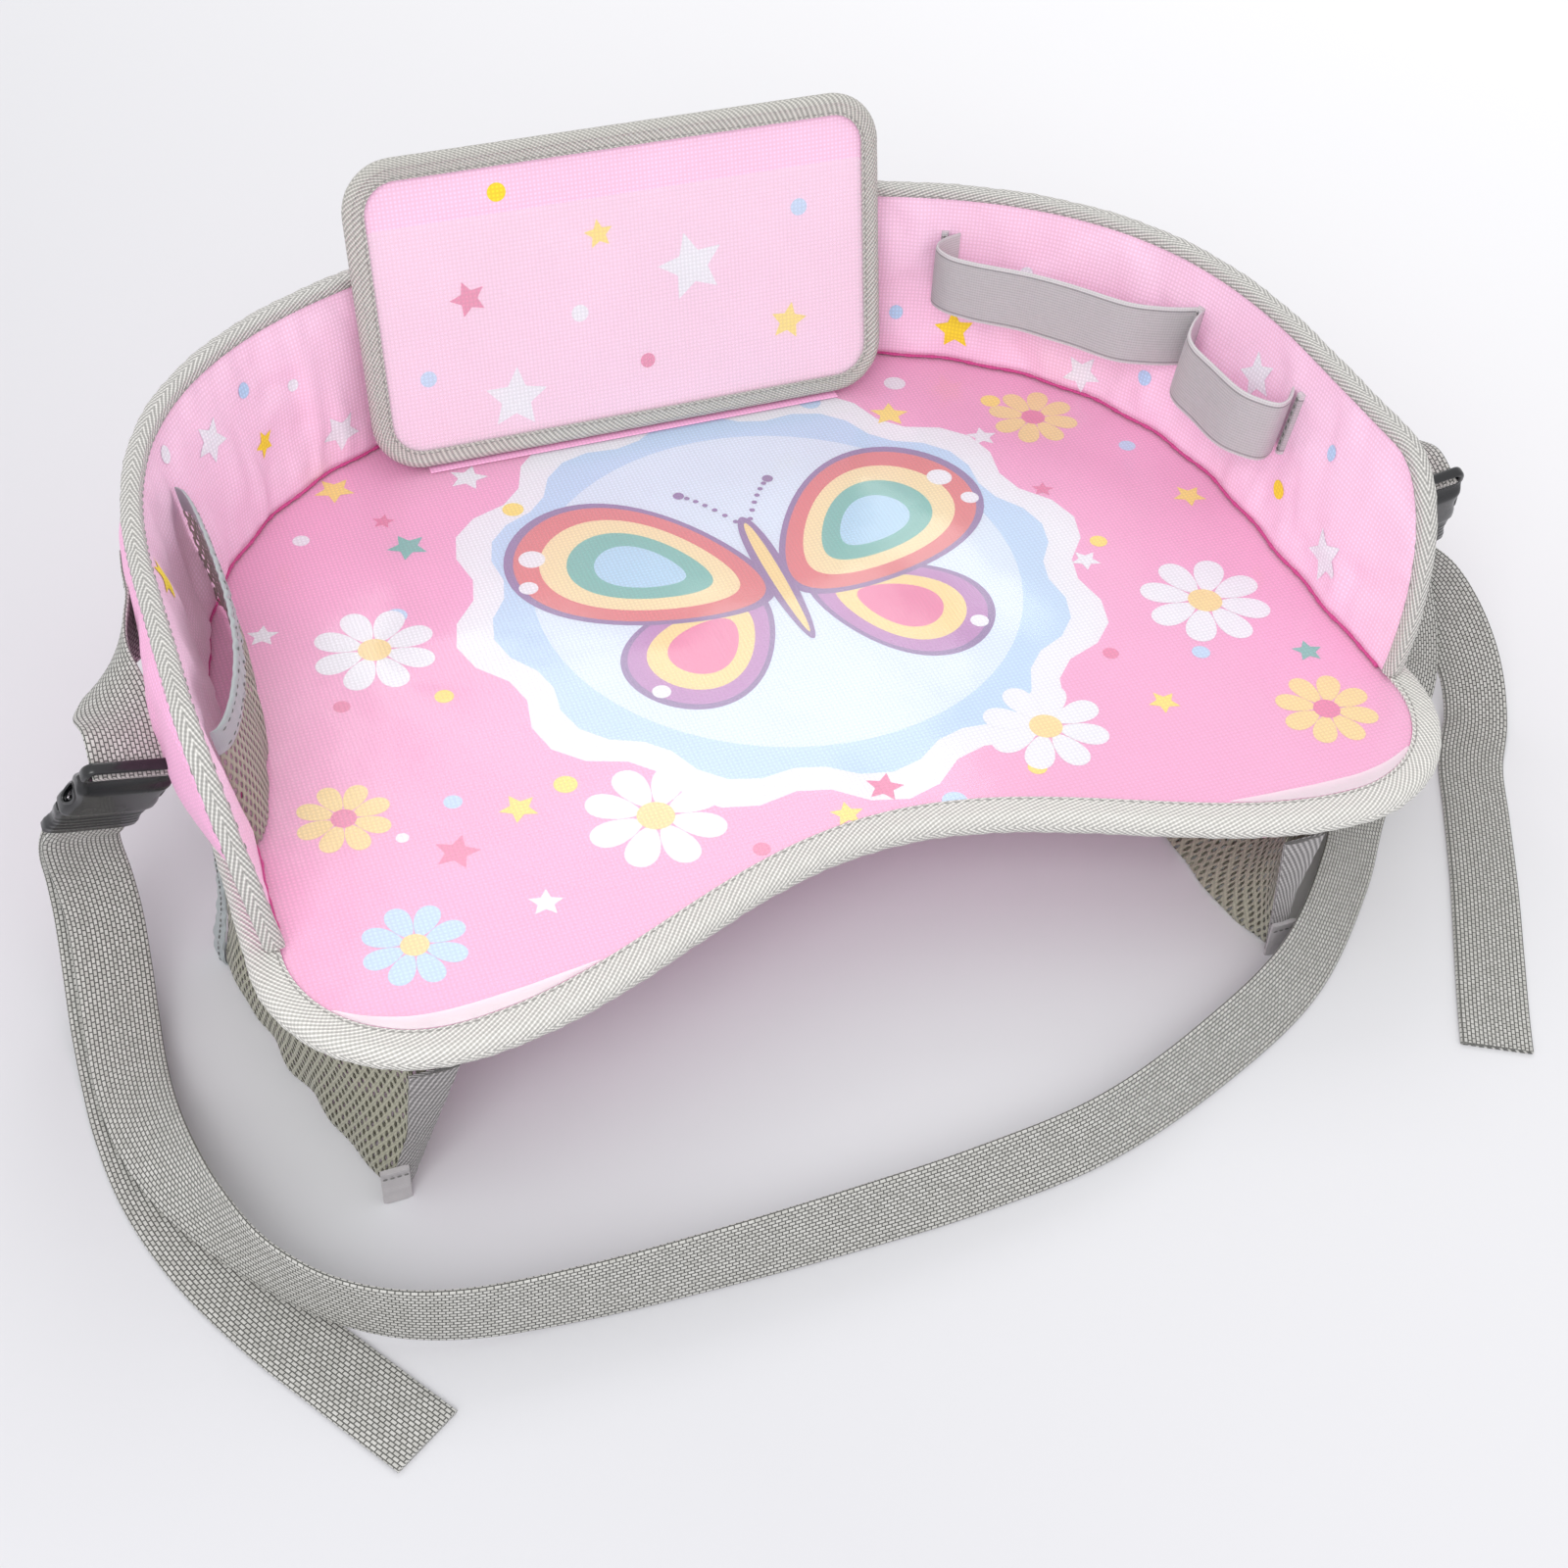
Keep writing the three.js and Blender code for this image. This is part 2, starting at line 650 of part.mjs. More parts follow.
const windowInset = PANEL.bindingWidth + CLEARANCE;
const filmFront = panelLayerStart;
const frontCoverFront = filmFront + PANEL.filmThickness + CLEARANCE;
const panelBoardFront = frontCoverFront + FABRIC + CLEARANCE;
const backCoverFront = panelBoardFront + PANEL.boardThickness + CLEARANCE;
addPiece(
  "tablet_window_film",
  panelSheet(panelOutline(windowInset, PANEL.filmHeight), filmFront, PANEL.filmThickness),
  clearFilm,
  panel,
);
const panelShape = panelOutline(panelLayerStart);
const panelBoard = panelSheet(panelShape, panelBoardFront, PANEL.boardThickness);
addPiece("tablet_front_cover", panelSheet(panelShape, frontCoverFront, FABRIC), fabricPink, panel);
addPiece("tablet_board", panelBoard, boardWhite, panel);
addPiece("tablet_back_cover", panelSheet(panelShape, backCoverFront, FABRIC), fabricPink, panel);

function panelBinding() {
  const { bindingThickness: thick, bindingWidth: width } = PANEL;
  const middle = panelTotal / 2;
  const section = [
    [width, 0, width, thick],
    [thick, 0, thick, thick],
    [0, middle - thick, thick, middle - thick / 2],
    [0, middle + thick, thick, middle + thick / 2],
    [thick, panelTotal, thick, panelTotal - thick],
    [width, panelTotal, width, panelTotal - thick],
  ];
  const ring = (inset, y) => panelOutline(inset).map((p) => new THREE.Vector3(p.x, y, p.y));
  const outerRings = section.map(([inset, y]) => ring(inset, y));
  const innerRings = section.map(([, , inset, y]) => ring(inset, y));
  const rows = (rings) => rings[0].map((_, i) => rings.map((oneRing) => oneRing[i]));
  return solidBetween(rows(outerRings), rows(innerRings), true);
}

addPiece("tablet_panel_binding", panelBinding(), webbingGrey, panel);

const tapeLength = PANEL.width - 2 * PANEL.cornerRadius;
const tape = new THREE.BoxGeometry(tapeLength, PANEL.tapeWidth, PANEL.tapeThickness);
tape.translate(PANEL.centreX, panelHingeY + PANEL.tapeWidth / 2, tapeTop - PANEL.tapeThickness / 2);
addPiece("tablet_hinge_tape", tape, webbingGrey);

// Pencil loops: two bows of one elastic, tacked to the lining at both ends and between
const pencilEnd = PENCIL.start + PENCIL.firstSpan + PENCIL.secondSpan;
const pencilMiddle = PENCIL.start + PENCIL.firstSpan;

// A place on the elastic, standing a distance in from the puckered lining
function onLining(along, height, standing) {
  const pucker = liningPucker(along, height / (WALL.height - WALL.bindingLeg));
  return wallPoint(along, height, -pucker - CLEARANCE - standing);
}

function elasticRow(along, standing) {
  return [PENCIL.bottom, PENCIL.bottom + PENCIL.bandWidth].map((height) => onLining(along, height, standing));
}

function elasticBow(from, to, bow) {
  const face = [];
  const back = [];
  for (let i = 0; i <= STEPS.bow; i += 1) {
    const share = i / STEPS.bow;
    const along = THREE.MathUtils.lerp(from, to, share);
    const out = bow * Math.sin(Math.PI * share) ** PENCIL_BOW_POWER;
    face.push(elasticRow(along, out + PENCIL.bandThickness));
    back.push(elasticRow(along, out));
  }
  return solidBetween(face, back);
}

const tackHalf = PENCIL.tackWidth / 2 + CLEARANCE;
const longLoop = elasticBow(PENCIL.start + tackHalf, pencilMiddle - tackHalf, PENCIL.firstBow);
const shortLoop = elasticBow(pencilMiddle + tackHalf, pencilEnd - tackHalf, PENCIL.secondBow);
addPiece("pencil_loop_long", longLoop, webbingGrey);
addPiece("pencil_loop_short", shortLoop, webbingGrey);

function tack(along) {
  const half = PENCIL.tackWidth / 2;
  const sheet = (out) => [elasticRow(along - half, out), elasticRow(along + half, out)];
  return solidBetween(sheet(PENCIL.bandThickness + PENCIL.tackThickness), sheet(0));
}

addPiece("pencil_loop_tack_start", tack(PENCIL.start), webbingGrey);
addPiece("pencil_loop_tack_middle", tack(pencilMiddle), webbingGrey);
addPiece("pencil_loop_tack_end", tack(pencilEnd), webbingGrey);

// Inner mesh pocket: a bowed panel from the floor seam to an elastic rim
function innerPocketOut(share, upShare) {
  const bow = Math.sin(Math.PI * share) ** POCKET_BOW_POWER;
  const reach = THREE.MathUtils.lerp(INNER_POCKET.footBow, INNER_POCKET.rimBow, upShare);
  return WALL.puckerDepth + CLEARANCE + bow * reach;
}

function innerPocketAlong(share) {
  return -THREE.MathUtils.lerp(INNER_POCKET.start, INNER_POCKET.end, share);
}

function innerPocketMesh() {
  const levels = STEPS.innerPocketLevels;
  const face = [];
  const back = [];
  const top = INNER_POCKET.rimHeight - INNER_POCKET.trimWidth - CLEARANCE;
  for (let i = 0; i <= STEPS.bow; i += 1) {
    const share = i / STEPS.bow;
    const along = innerPocketAlong(share);
    const faceRow = [];
    const backRow = [];
    for (let j = 0; j <= levels; j += 1) {
      const upShare = j / levels;
      const out = innerPocketOut(share, upShare);
      faceRow.push(wallPoint(along, top * upShare, -out - INNER_POCKET.meshThickness));
      backRow.push(wallPoint(along, top * upShare, -out));
    }
    face.push(faceRow);
    back.push(backRow);
  }
  return solidBetween(face, back);
}

function innerPocketTrim() {
  const face = [];
  const back = [];
  const top = INNER_POCKET.rimHeight;
  const foot = top - INNER_POCKET.trimWidth;
  for (let i = 0; i <= STEPS.bow; i += 1) {
    const share = i / STEPS.bow;
    const along = innerPocketAlong(share);
    const out = innerPocketOut(share, 1);
    const row = (offset) => [wallPoint(along, foot, -offset), wallPoint(along, top, -offset)];
    face.push(row(out + INNER_POCKET.trimThickness));
    back.push(row(out));
  }
  return solidBetween(face, back);
}

addPiece("inner_pocket_mesh", innerPocketMesh(), meshGrey);
addPiece("inner_pocket_elastic_rim", innerPocketTrim(), webbingGrey);

// Side pockets: a V of mesh from the base's edge down to a flat foot and back up to the underside
const pocketTop = BASE.underside - 2 * CLEARANCE - EDGE_BINDING.thickness;
const pocketMouthY = SIDE_POCKET.mouthFromFront - BASE.depth / 2;
const pocketFrontY = SIDE_POCKET.frontFromFront - BASE.depth / 2;

// The base edge's x at a given y on the right, moved inward by inset
function edgeXAt(y, inset) {
  const lobeY = BASE.lobeRadius - BASE.depth / 2;
  const radius = BASE.lobeRadius - inset;
  if (y >= lobeY) return BASE.width / 2 - inset;
  const reach = Math.sqrt(Math.max(radius ** 2 - (y - lobeY) ** 2, 0));
  return BASE.width / 2 - BASE.lobeRadius + reach;
}

// A pocket's fold at a share of its length from the mouth, on a curve through its three feet
function footXAt(foot, share) {
  const straight = THREE.MathUtils.lerp(foot.mouthX, foot.frontX, share);
  const bow = foot.middleX - (foot.mouthX + foot.frontX) / 2;
  return straight + 4 * bow * share * (1 - share);
}

// A line that runs down, across and up again, moved to its inside by a distance, its ends level
function movedInside(line, distance) {
  const normals = line.slice(1).map((p, i) => {
    const along = p.clone().sub(line[i]).normalize();
    return new THREE.Vector2(along.y, -along.x);
  });
  return line.map((p, i) => {
    const before = normals[Math.max(i - 1, 0)];
    const after = normals[Math.min(i, normals.length - 1)];
    if (i === 0 || i === line.length - 1) return new THREE.Vector2(p.x + distance / before.x, p.y);
    const mitre = before.clone().add(after).normalize();
    return p.clone().addScaledVector(mitre, distance / mitre.dot(after));
  });
}

// One section of a pocket at a share of its length from the mouth: down the outer side, across
// the foot and up the inner side
function pocketSection(foot, share, thickness) {
  const y = THREE.MathUtils.lerp(pocketMouthY, pocketFrontY, share);
  const tuck = share ** POCKET_TUCK_POWER;
  const outerX = THREE.MathUtils.lerp(edgeXAt(y, SIDE_POCKET.outerInset), foot.frontTopX, tuck);
  const innerX = outerX - SIDE_POCKET.gusset * THREE.MathUtils.lerp(1, POCKET_FRONT_GUSSET_SHARE, share);
  const footX = footXAt(foot, share);
  const half = SIDE_POCKET.footWidth / 2;
  const middle = pocketTop / 2;
  const outerMiddle = (outerX + footX + half) / 2 - SIDE_POCKET.sag;
  const innerMiddle = (innerX + footX - half) / 2 + SIDE_POCKET.sag * (share - 1);
  const line = [
    new THREE.Vector2(outerX, pocketTop),
    new THREE.Vector2(outerMiddle, middle),
    new THREE.Vector2(footX + half, 0),
    new THREE.Vector2(footX - half, 0),
    new THREE.Vector2(innerMiddle, middle),
    new THREE.Vector2(innerX, pocketTop),
  ];
  const stand = (points) => points.map((p) => new THREE.Vector3(foot.side * p.x, y, p.y));
  return { outer: stand(line), inner: stand(movedInside(line, thickness)) };
}

function pocketMesh(foot) {
  const outer = [];
  const inner = [];
  const trimShare = (SIDE_POCKET.elasticWidth + CLEARANCE) / (pocketMouthY - pocketFrontY);
  for (let i = 0; i <= STEPS.sidePocket; i += 1) {
    const share = THREE.MathUtils.lerp(trimShare, 1, i / STEPS.sidePocket);
    const section = pocketSection(foot, share, SIDE_POCKET.meshThickness);
    outer.push(section.outer);
    inner.push(section.inner);
  }
  return solidBetween(outer, inner);
}

function pocketElastic(foot) {
  const share = SIDE_POCKET.elasticWidth / (pocketMouthY - pocketFrontY);
  const sections = [0, share].map((s) => pocketSection(foot, s, SIDE_POCKET.elasticThickness));
  return solidBetween(sections.map((s) => s.outer), sections.map((s) => s.inner));
}

// The bound seam that closes the front end of a pocket
function pocketFrontBinding(foot) {
  const front = pocketSection(foot, 1, SIDE_POCKET.meshThickness);
  const [outerTop, outerMiddle, footOuter, footInner, innerMiddle, innerTop] = front.outer;
  const across = (inner, outer, y) => [inner.clone().setY(y), outer.clone().setY(y)];
  const face = (y) => [
    across(innerTop, outerTop, y),
    across(innerMiddle, outerMiddle, y),
    across(footInner, footOuter, y),
  ];
  const back = pocketFrontY - CLEARANCE;
  return solidBetween(face(back), face(back - SIDE_POCKET.bindingThickness));
}

// The folded end of the bound seam, lying on the seam's lower end
function pocketEndTab(foot) {
  const { tabWidth, tabHeight, tabThickness, bindingThickness } = SIDE_POCKET;
  const geometry = new THREE.BoxGeometry(tabWidth, tabThickness, tabHeight);
  const y = pocketFrontY - 2 * CLEARANCE - bindingThickness - tabThickness / 2;
  return geometry.translate(foot.side * foot.frontX, y, tabHeight / 2);
}

for (const foot of POCKET_FEET) {
  addPiece(`side_pocket_${foot.name}_mesh`, pocketMesh(foot), meshGrey);
  addPiece(`side_pocket_${foot.name}_mouth_elastic`, pocketElastic(foot), webbingGrey);
  addPiece(`side_pocket_${foot.name}_front_binding`, pocketFrontBinding(foot), webbingGrey);
  addPiece(`side_pocket_${foot.name}_end_tab`, pocketEndTab(foot), webbingGrey);
}

// Buckles: local +Z runs from the strap end to the tab end, +X across and +Y through the thickness.
// The origin is the mouth of the socket.
function roundedBar(width, thickness, from, to) {
  const radius = Math.min(BUCKLE.round, thickness / 3, width / 3);
  const shape = new THREE.Shape();
  const [x, y] = [width / 2, thickness / 2];
  shape.moveTo(radius - x, -y);
  shape.lineTo(x - radius, -y);
  shape.lineTo(x, radius - y);
  shape.lineTo(x, y - radius);
  shape.lineTo(x - radius, y);
  shape.lineTo(radius - x, y);
  shape.lineTo(-x, y - radius);
  shape.lineTo(-x, radius - y);
  shape.closePath();
  const geometry = new THREE.ExtrudeGeometry(shape, { depth: to - from, bevelEnabled: false });
  return geometry.translate(0, 0, from);
}

function block(width, thickness, from, to, x = 0) {
  const geometry = new THREE.BoxGeometry(width, thickness, to - from);
  return geometry.translate(x, 0, (from + to) / 2);
}

function socketGeometry() {
  const b = BUCKLE;
  const shell = roundedBar(b.width, b.thickness, 0, b.socketLength);
  const frameStart = b.socketLength - b.wall;
  const frame = roundedBar(b.width, b.frameThickness, frameStart, b.socketLength + b.frameLength);
  const cavity = block(b.width - 2 * b.wall, b.thickness - 2 * b.wall, -CUT_OVERRUN, b.cavityDepth);
  const windowHeight = b.armThickness + 2 * CLEARANCE;
  const windowEnd = b.windowStart + b.windowLength;
  const windows = block(b.width + 2 * CUT_OVERRUN, windowHeight, b.windowStart, windowEnd);
  const slotFrom = b.socketLength + (b.frameLength - b.slotHeight) / 2;
  const slotThrough = b.frameThickness + 2 * CUT_OVERRUN;
  const slot = block(WEBBING.width + 2 * CLEARANCE, slotThrough, slotFrom, slotFrom + b.slotHeight);
  return cutAway(joined([shell, frame]), [cavity, windows, slot]);
}

function plugGeometry() {
  const b = BUCKLE;
  const body = roundedBar(b.width, b.plugThickness, -b.plugBodyLength, -CLEARANCE);
  const tongue = block(b.tongueWidth, b.tongueThickness, -b.wall, b.tongueLength);
  const slots = [0, 1].map((i) => {
    const from = -b.plugBodyLength + b.barWidth + i * (b.barWidth + b.barGap);
    return block(WEBBING.width + 2 * CLEARANCE, b.plugThickness + 2 * CUT_OVERRUN, from, from + b.barGap);
  });
  return cutAway(joined([body, tongue]), slots);
}

const armRootX = BUCKLE.width / 2 - BUCKLE.wall - CLEARANCE - BUCKLE.armWidth / 2 - BUCKLE.barbWidth;

function prongGeometry(side) {
  const b = BUCKLE;
  const arm = block(b.armWidth, b.armThickness, 0, b.armLength, side * armRootX);
  const barbX = side * (armRootX + b.armWidth / 2 + b.barbWidth / 2 - CLEARANCE);
  const barbFrom = b.armLength - b.barbLength - b.armWidth;
  const barb = block(b.barbWidth + CLEARANCE, b.armThickness, barbFrom, barbFrom + b.barbLength, barbX);
  return joined([arm, barb]);
}

// A flat strip of webbing along places, each with its tangent and the direction of its width
function stripGeometry(frames, width, thickness) {
  const face = [];
  const back = [];
  frames.forEach(({ place, tangent, across }) => {
    const side = across.clone().addScaledVector(tangent, -across.dot(tangent)).normalize();
    const normal = tangent.clone().cross(side);
    const corner = (w, out) => place.clone().addScaledVector(side, w).addScaledVector(normal, out);
    const row = (out) => [corner(-width / 2, out), corner(width / 2, out)];
    face.push(row(thickness / 2));
    back.push(row(-thickness / 2));
  });
  return solidBetween(face, back);
}

function routeFrames(route, steps) {
  const curve = (key) => {
    const points = route.map((step) => new THREE.Vector3(...step[key]));
    return new THREE.CatmullRomCurve3(points, false, "centripetal");
  };
  const places = curve("at");
  const widths = curve("across");
  const frames = [];
  for (let i = 0; i <= steps; i += 1) {
    const t = places.getUtoTmapping(i / steps);
    const across = widths.getPoint(t).normalize();
    frames.push({ place: places.getPoint(t), tangent: places.getTangent(t), across });
  }
  return frames;
}

const slotCentre = BUCKLE.socketLength + BUCKLE.frameLength / 2;

// The sewn tab that carries a buckle: flat on the wall's cover, then turned into the socket's slot
function tabFrames({ side }, slotPlace, slotAcross, through) {
  const offset = wallThickness + WALL.bulge + 2 * CLEARANCE + WEBBING.thickness / 2;
  const onWall = (y, height) => wallPoint(side * sideLengthAt(y), height, offset);
  const half = WEBBING.width / 2;
  const { rootHeight, sewnFrom, sewnTo, drop } = BUCKLE_TAB;
  const wallAcross = onWall(sewnTo, rootHeight + half).sub(onWall(sewnTo, rootHeight - half)).normalize();
  const into = slotPlace.clone().addScaledVector(through, drop);
  const standOff = into.clone().lerp(onWall(sewnTo, rootHeight), 0.5).setX(into.x);
  const places = [onWall(sewnFrom, rootHeight), onWall(sewnTo, rootHeight), standOff, into, slotPlace];
  const curve = new THREE.CatmullRomCurve3(places, false, "centripetal");
  const frames = [];
  for (let i = 0; i <= STEPS.tab; i += 1) {
    const place = curve.getPointAt(i / STEPS.tab);
    const turnShare = THREE.MathUtils.smoothstep(-place.y, -sewnTo, -into.y);
    const across = wallAcross.clone().lerp(slotAcross, turnShare).normalize();
    frames.push({ place, tangent: curve.getTangentAt(i / STEPS.tab), across });
  }
  return frames;
}

for (const buckle of BUCKLES) {
  const { side, name, tabEnd, strapEnd } = buckle;
  const mirrored = new THREE.Vector3(side, 1, 1);
  const slotPlace = new THREE.Vector3(...tabEnd).multiply(mirrored);
  const up = slotPlace.clone().sub(new THREE.Vector3(...strapEnd).multiply(mirrored)).normalize();
  const across = new THREE.Vector3(1, 0, 0).addScaledVector(up, -up.x).normalize();
  const through = up.clone().cross(across);
  const group = new THREE.Group();
  group.quaternion.setFromRotationMatrix(new THREE.Matrix4().makeBasis(across, through, up));
  group.position.copy(slotPlace).addScaledVector(up, -slotCentre);
  tray.add(group);
  addPiece(`buckle_${name}_socket`, socketGeometry(), buckleBlack, group);
  addPiece(`buckle_${name}_plug`, plugGeometry(), buckleBlack, group);
  addPiece(`buckle_${name}_prong_inner`, prongGeometry(-side), buckleBlack, group);
  addPiece(`buckle_${name}_prong_outer`, prongGeometry(side), buckleBlack, group);
  const slotAcross = across.clone().multiplyScalar(-side);
  const frames = tabFrames(buckle, slotPlace, slotAcross, through);
  addPiece(`buckle_${name}_tab`, stripGeometry(frames, WEBBING.width, WEBBING.thickness), webbingGrey);
}

// The free webbing
const freeWebbing = [
  ["strap_loop", STRAP_LOOP_ROUTE, STEPS.strap],
  ["strap_left_tail", LEFT_TAIL_ROUTE, STEPS.tail],
  ["strap_right_tail", RIGHT_TAIL_ROUTE, STEPS.tail],
];
const reach = new THREE.Box3();
for (const piece of tray.children) reach.expandByObject(piece, true);
for (const [name, route, steps] of freeWebbing) {
  addPiece(name, stripGeometry(routeFrames(route, steps), WEBBING.width, WEBBING.thickness), webbingGrey);
}

// The origin is the bottom centre of everything but the free webbing
const middle = reach.getCenter(new THREE.Vector3());
tray.position.set(-middle.x, -middle.y, -reach.min.z);

export default tray;
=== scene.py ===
import bpy
import numpy as np
from mathutils import Matrix
from mathutils.geometry import tessellate_polygon


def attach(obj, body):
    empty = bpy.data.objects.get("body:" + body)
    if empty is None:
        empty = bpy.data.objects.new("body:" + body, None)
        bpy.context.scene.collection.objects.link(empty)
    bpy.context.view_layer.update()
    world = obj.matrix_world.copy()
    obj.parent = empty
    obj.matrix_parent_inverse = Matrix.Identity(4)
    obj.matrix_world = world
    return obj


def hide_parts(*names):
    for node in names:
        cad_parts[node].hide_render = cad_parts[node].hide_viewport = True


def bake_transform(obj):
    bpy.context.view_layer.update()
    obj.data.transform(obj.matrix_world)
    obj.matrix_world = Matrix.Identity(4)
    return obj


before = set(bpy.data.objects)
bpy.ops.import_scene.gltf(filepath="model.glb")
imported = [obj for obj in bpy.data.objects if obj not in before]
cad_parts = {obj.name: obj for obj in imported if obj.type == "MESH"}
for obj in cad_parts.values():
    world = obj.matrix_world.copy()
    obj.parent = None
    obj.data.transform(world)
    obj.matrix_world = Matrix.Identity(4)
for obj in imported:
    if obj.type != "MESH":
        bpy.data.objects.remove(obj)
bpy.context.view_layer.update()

# Shapes are worked out in the drawing's millimetres; the row frame lies SHIFT further on
MM = 0.001
SHIFT = np.array([2.614, -0.037, 0.0])
FLOOR_TOP = 63.9
BINDING_MIDDLE = 60.95
BINDING_INSET = 11.0
WALL_FOOT = 65.7
WALL_INSET = 12.0
WALL_HEIGHT = 74.0
PUCKER_HEIGHT = 65.0
END_ROUND = 42.0
BINDING_LEG = 9.0
PANEL_SIZE = (212.0, 122.0)
PANEL_ROUND = 20.0
PANEL_LEAN = np.radians(12)
PANEL_FOOT = (-8.0, 115.0, 66.87)
WEBBING_WIDTH = 25.0
WEBBING_THICK = 1.6
LOOP_LOW = 32.0
LOOP_HIGH = 57.0
POCKET_RIM_LOW = 42.0
POCKET_RIM_HIGH = 52.0
TRAY = "tray"


# Camera

def row_frame(places):
    """Drawing millimetres to the row frame's metres: the place plus SHIFT, times a thousandth."""
    return (np.asarray(places, float) + SHIFT) * MM


def make_camera():
    """A pinhole whose columns are the picture's right, its up and the way back from the view."""
    data = bpy.data.cameras.new("camera")
    data.lens = 51.75
    data.sensor_width = 36
    data.clip_start = 0.02
    data.clip_end = 20
    camera = bpy.data.objects.new("camera", data)
    bpy.context.scene.collection.objects.link(camera)
    ahead = np.array([0.2868, 0.6597, -0.6947])
    ahead /= np.linalg.norm(ahead)
    right = np.array([0.9315, -0.3614, 0.0414])
    right -= ahead * (right @ ahead)
    right /= np.linalg.norm(right)
    up = np.cross(right, ahead)
    place = row_frame([-245.6, -596.9, 596.1])
    matrix = np.eye(4)
    matrix[:3, :3] = np.stack([right, up, -ahead], 1)
    matrix[:3, 3] = place
    camera.matrix_world = Matrix(matrix.tolist())
    bpy.context.scene.camera = camera


make_camera()


# Materials

def linear(code):
    """A written sRGB colour as linear light: c/12.92 when dark, else ((c+0.055)/1.055)^2.4."""
    c = np.array([int(code[i : i + 2], 16) / 255 for i in (1, 3, 5)])
    c = np.where(c <= 0.04045, c / 12.92, ((c + 0.055) / 1.055) ** 2.4)
    return (*c, 1.0)


def add(tree, kind, values=(), **settings):
    """One shader node: its settings, and for each socket a number or another node's output."""
    node = tree.nodes.new(kind)
    for key, value in settings.items():
        setattr(node, key, value)
    for key, value in dict(values).items():
        if isinstance(value, bpy.types.NodeSocket):
            tree.links.new(value, node.inputs[key])
        elif node.inputs[key].type == "VECTOR":
            node.inputs[key].default_value = value[:3]
        else:
            node.inputs[key].default_value = value
    return node


def calc(tree, operation, a, b=0.0, c=0.0):
    """One operation on up to three numbers or outputs."""
    return add(tree, "ShaderNodeMath", {0: a, 1: b, 2: c}, operation=operation).outputs[0]


def start_material(name):
    """An empty material with its output node."""
    made = bpy.data.materials.new(name)
    made.use_nodes = True
    tree = made.node_tree
    tree.nodes.clear()
    return made, tree, add(tree, "ShaderNodeOutputMaterial")


def uv_parts(tree):
    """The piece's own UV in millimetres: u along it, v across it."""
    uv = add(tree, "ShaderNodeTexCoord").outputs["UV"]
    scaled = add(tree, "ShaderNodeVectorMath", {0: uv, "Scale": 1000.0}, operation="SCALE").outputs[0]
    parts = add(tree, "ShaderNodeSeparateXYZ", {0: scaled})
    return scaled, parts.outputs[0], parts.outputs[1]


def object_noise(tree, size_mm, detail=2.0):
    """Noise whose blotches are about size_mm across, on the piece's own coordinates."""
    place = add(tree, "ShaderNodeTexCoord").outputs["Object"]
    values = {"Vector": place, "Scale": 1000.0 / size_mm, "Detail": detail}
    return add(tree, "ShaderNodeTexNoise", values).outputs["Fac"]


def wave(tree, along, pitch):
    """A sine from 0 to 1 with one crest each pitch millimetres."""
    turned = calc(tree, "MULTIPLY", along, 2 * np.pi / pitch)
    return calc(tree, "MULTIPLY_ADD", calc(tree, "SINE", turned), 0.5, 0.5)


def shade(tree, share, dark, light):
    """A colour between dark and light by a share."""
    node = add(tree, "ShaderNodeMix", {0: share, 6: dark, 7: light}, data_type="RGBA")
    return node.outputs[2]


def tint(tree, colour, share, low, high):
    """A colour made darker or lighter: times low at share 0 and high at share 1."""
    values = {"Value": share, "To Min": low, "To Max": high}
    gain = add(tree, "ShaderNodeMapRange", values).outputs[0]
    scaled = add(tree, "ShaderNodeVectorMath", {0: colour, "Scale": gain}, operation="SCALE")
    return scaled.outputs[0]


def bumped(tree, height, distance_mm, strength):
    """The normal of a surface that stands out by height times distance_mm."""
    values = {"Height": height, "Distance": distance_mm * MM, "Strength": strength}
    return add(tree, "ShaderNodeBump", values).outputs[0]


def principled(tree, output, colour, normal, roughness, specular, sheen=0.0, coat=0.0):
    """Blender's main surface shader with this object's few settings, joined to the output."""
    values = {
        "Base Color": colour,
        "Roughness": roughness,
        "Specular IOR Level": specular,
        "Sheen Weight": sheen,
        "Sheen Roughness": 0.4,
        "Coat Weight": coat,
    }
    if normal is not None:
        values["Normal"] = normal
    shader = add(tree, "ShaderNodeBsdfPrincipled", values)
    tree.links.new(shader.outputs[0], output.inputs[0])
    return shader


def oxford_cloth(name, colour, printed=False):
    """Polyester oxford: a plain weave, a faint cloudiness and a soft sheen. The real threads lie
    0.8 mm apart, and are drawn 1.6 mm apart so that they show in the render."""
    made, tree, output = start_material(name)
    _, u, v = uv_parts(tree)
    threads = calc(tree, "MULTIPLY", wave(tree, u, 1.6), wave(tree, v, 1.6))
    grain = object_noise(tree, 1.6, 3.0)
    cloudy = object_noise(tree, 45.0)
    base = linear(colour) if colour else None
    if printed:
        base = add(tree, "ShaderNodeVertexColor", layer_name="ink").outputs[0]
    tone = tint(tree, base, threads, 0.9, 1.14)
    tone = tint(tree, tone, grain, 0.95, 1.05)
    tone = tint(tree, tone, cloudy, 0.95, 1.05)
    height = calc(tree, "ADD", threads, calc(tree, "MULTIPLY", grain, 0.7))
    principled(tree, output, tone, bumped(tree, height, 0.12, 0.5), 0.72, 0.3, 0.12)
    return made


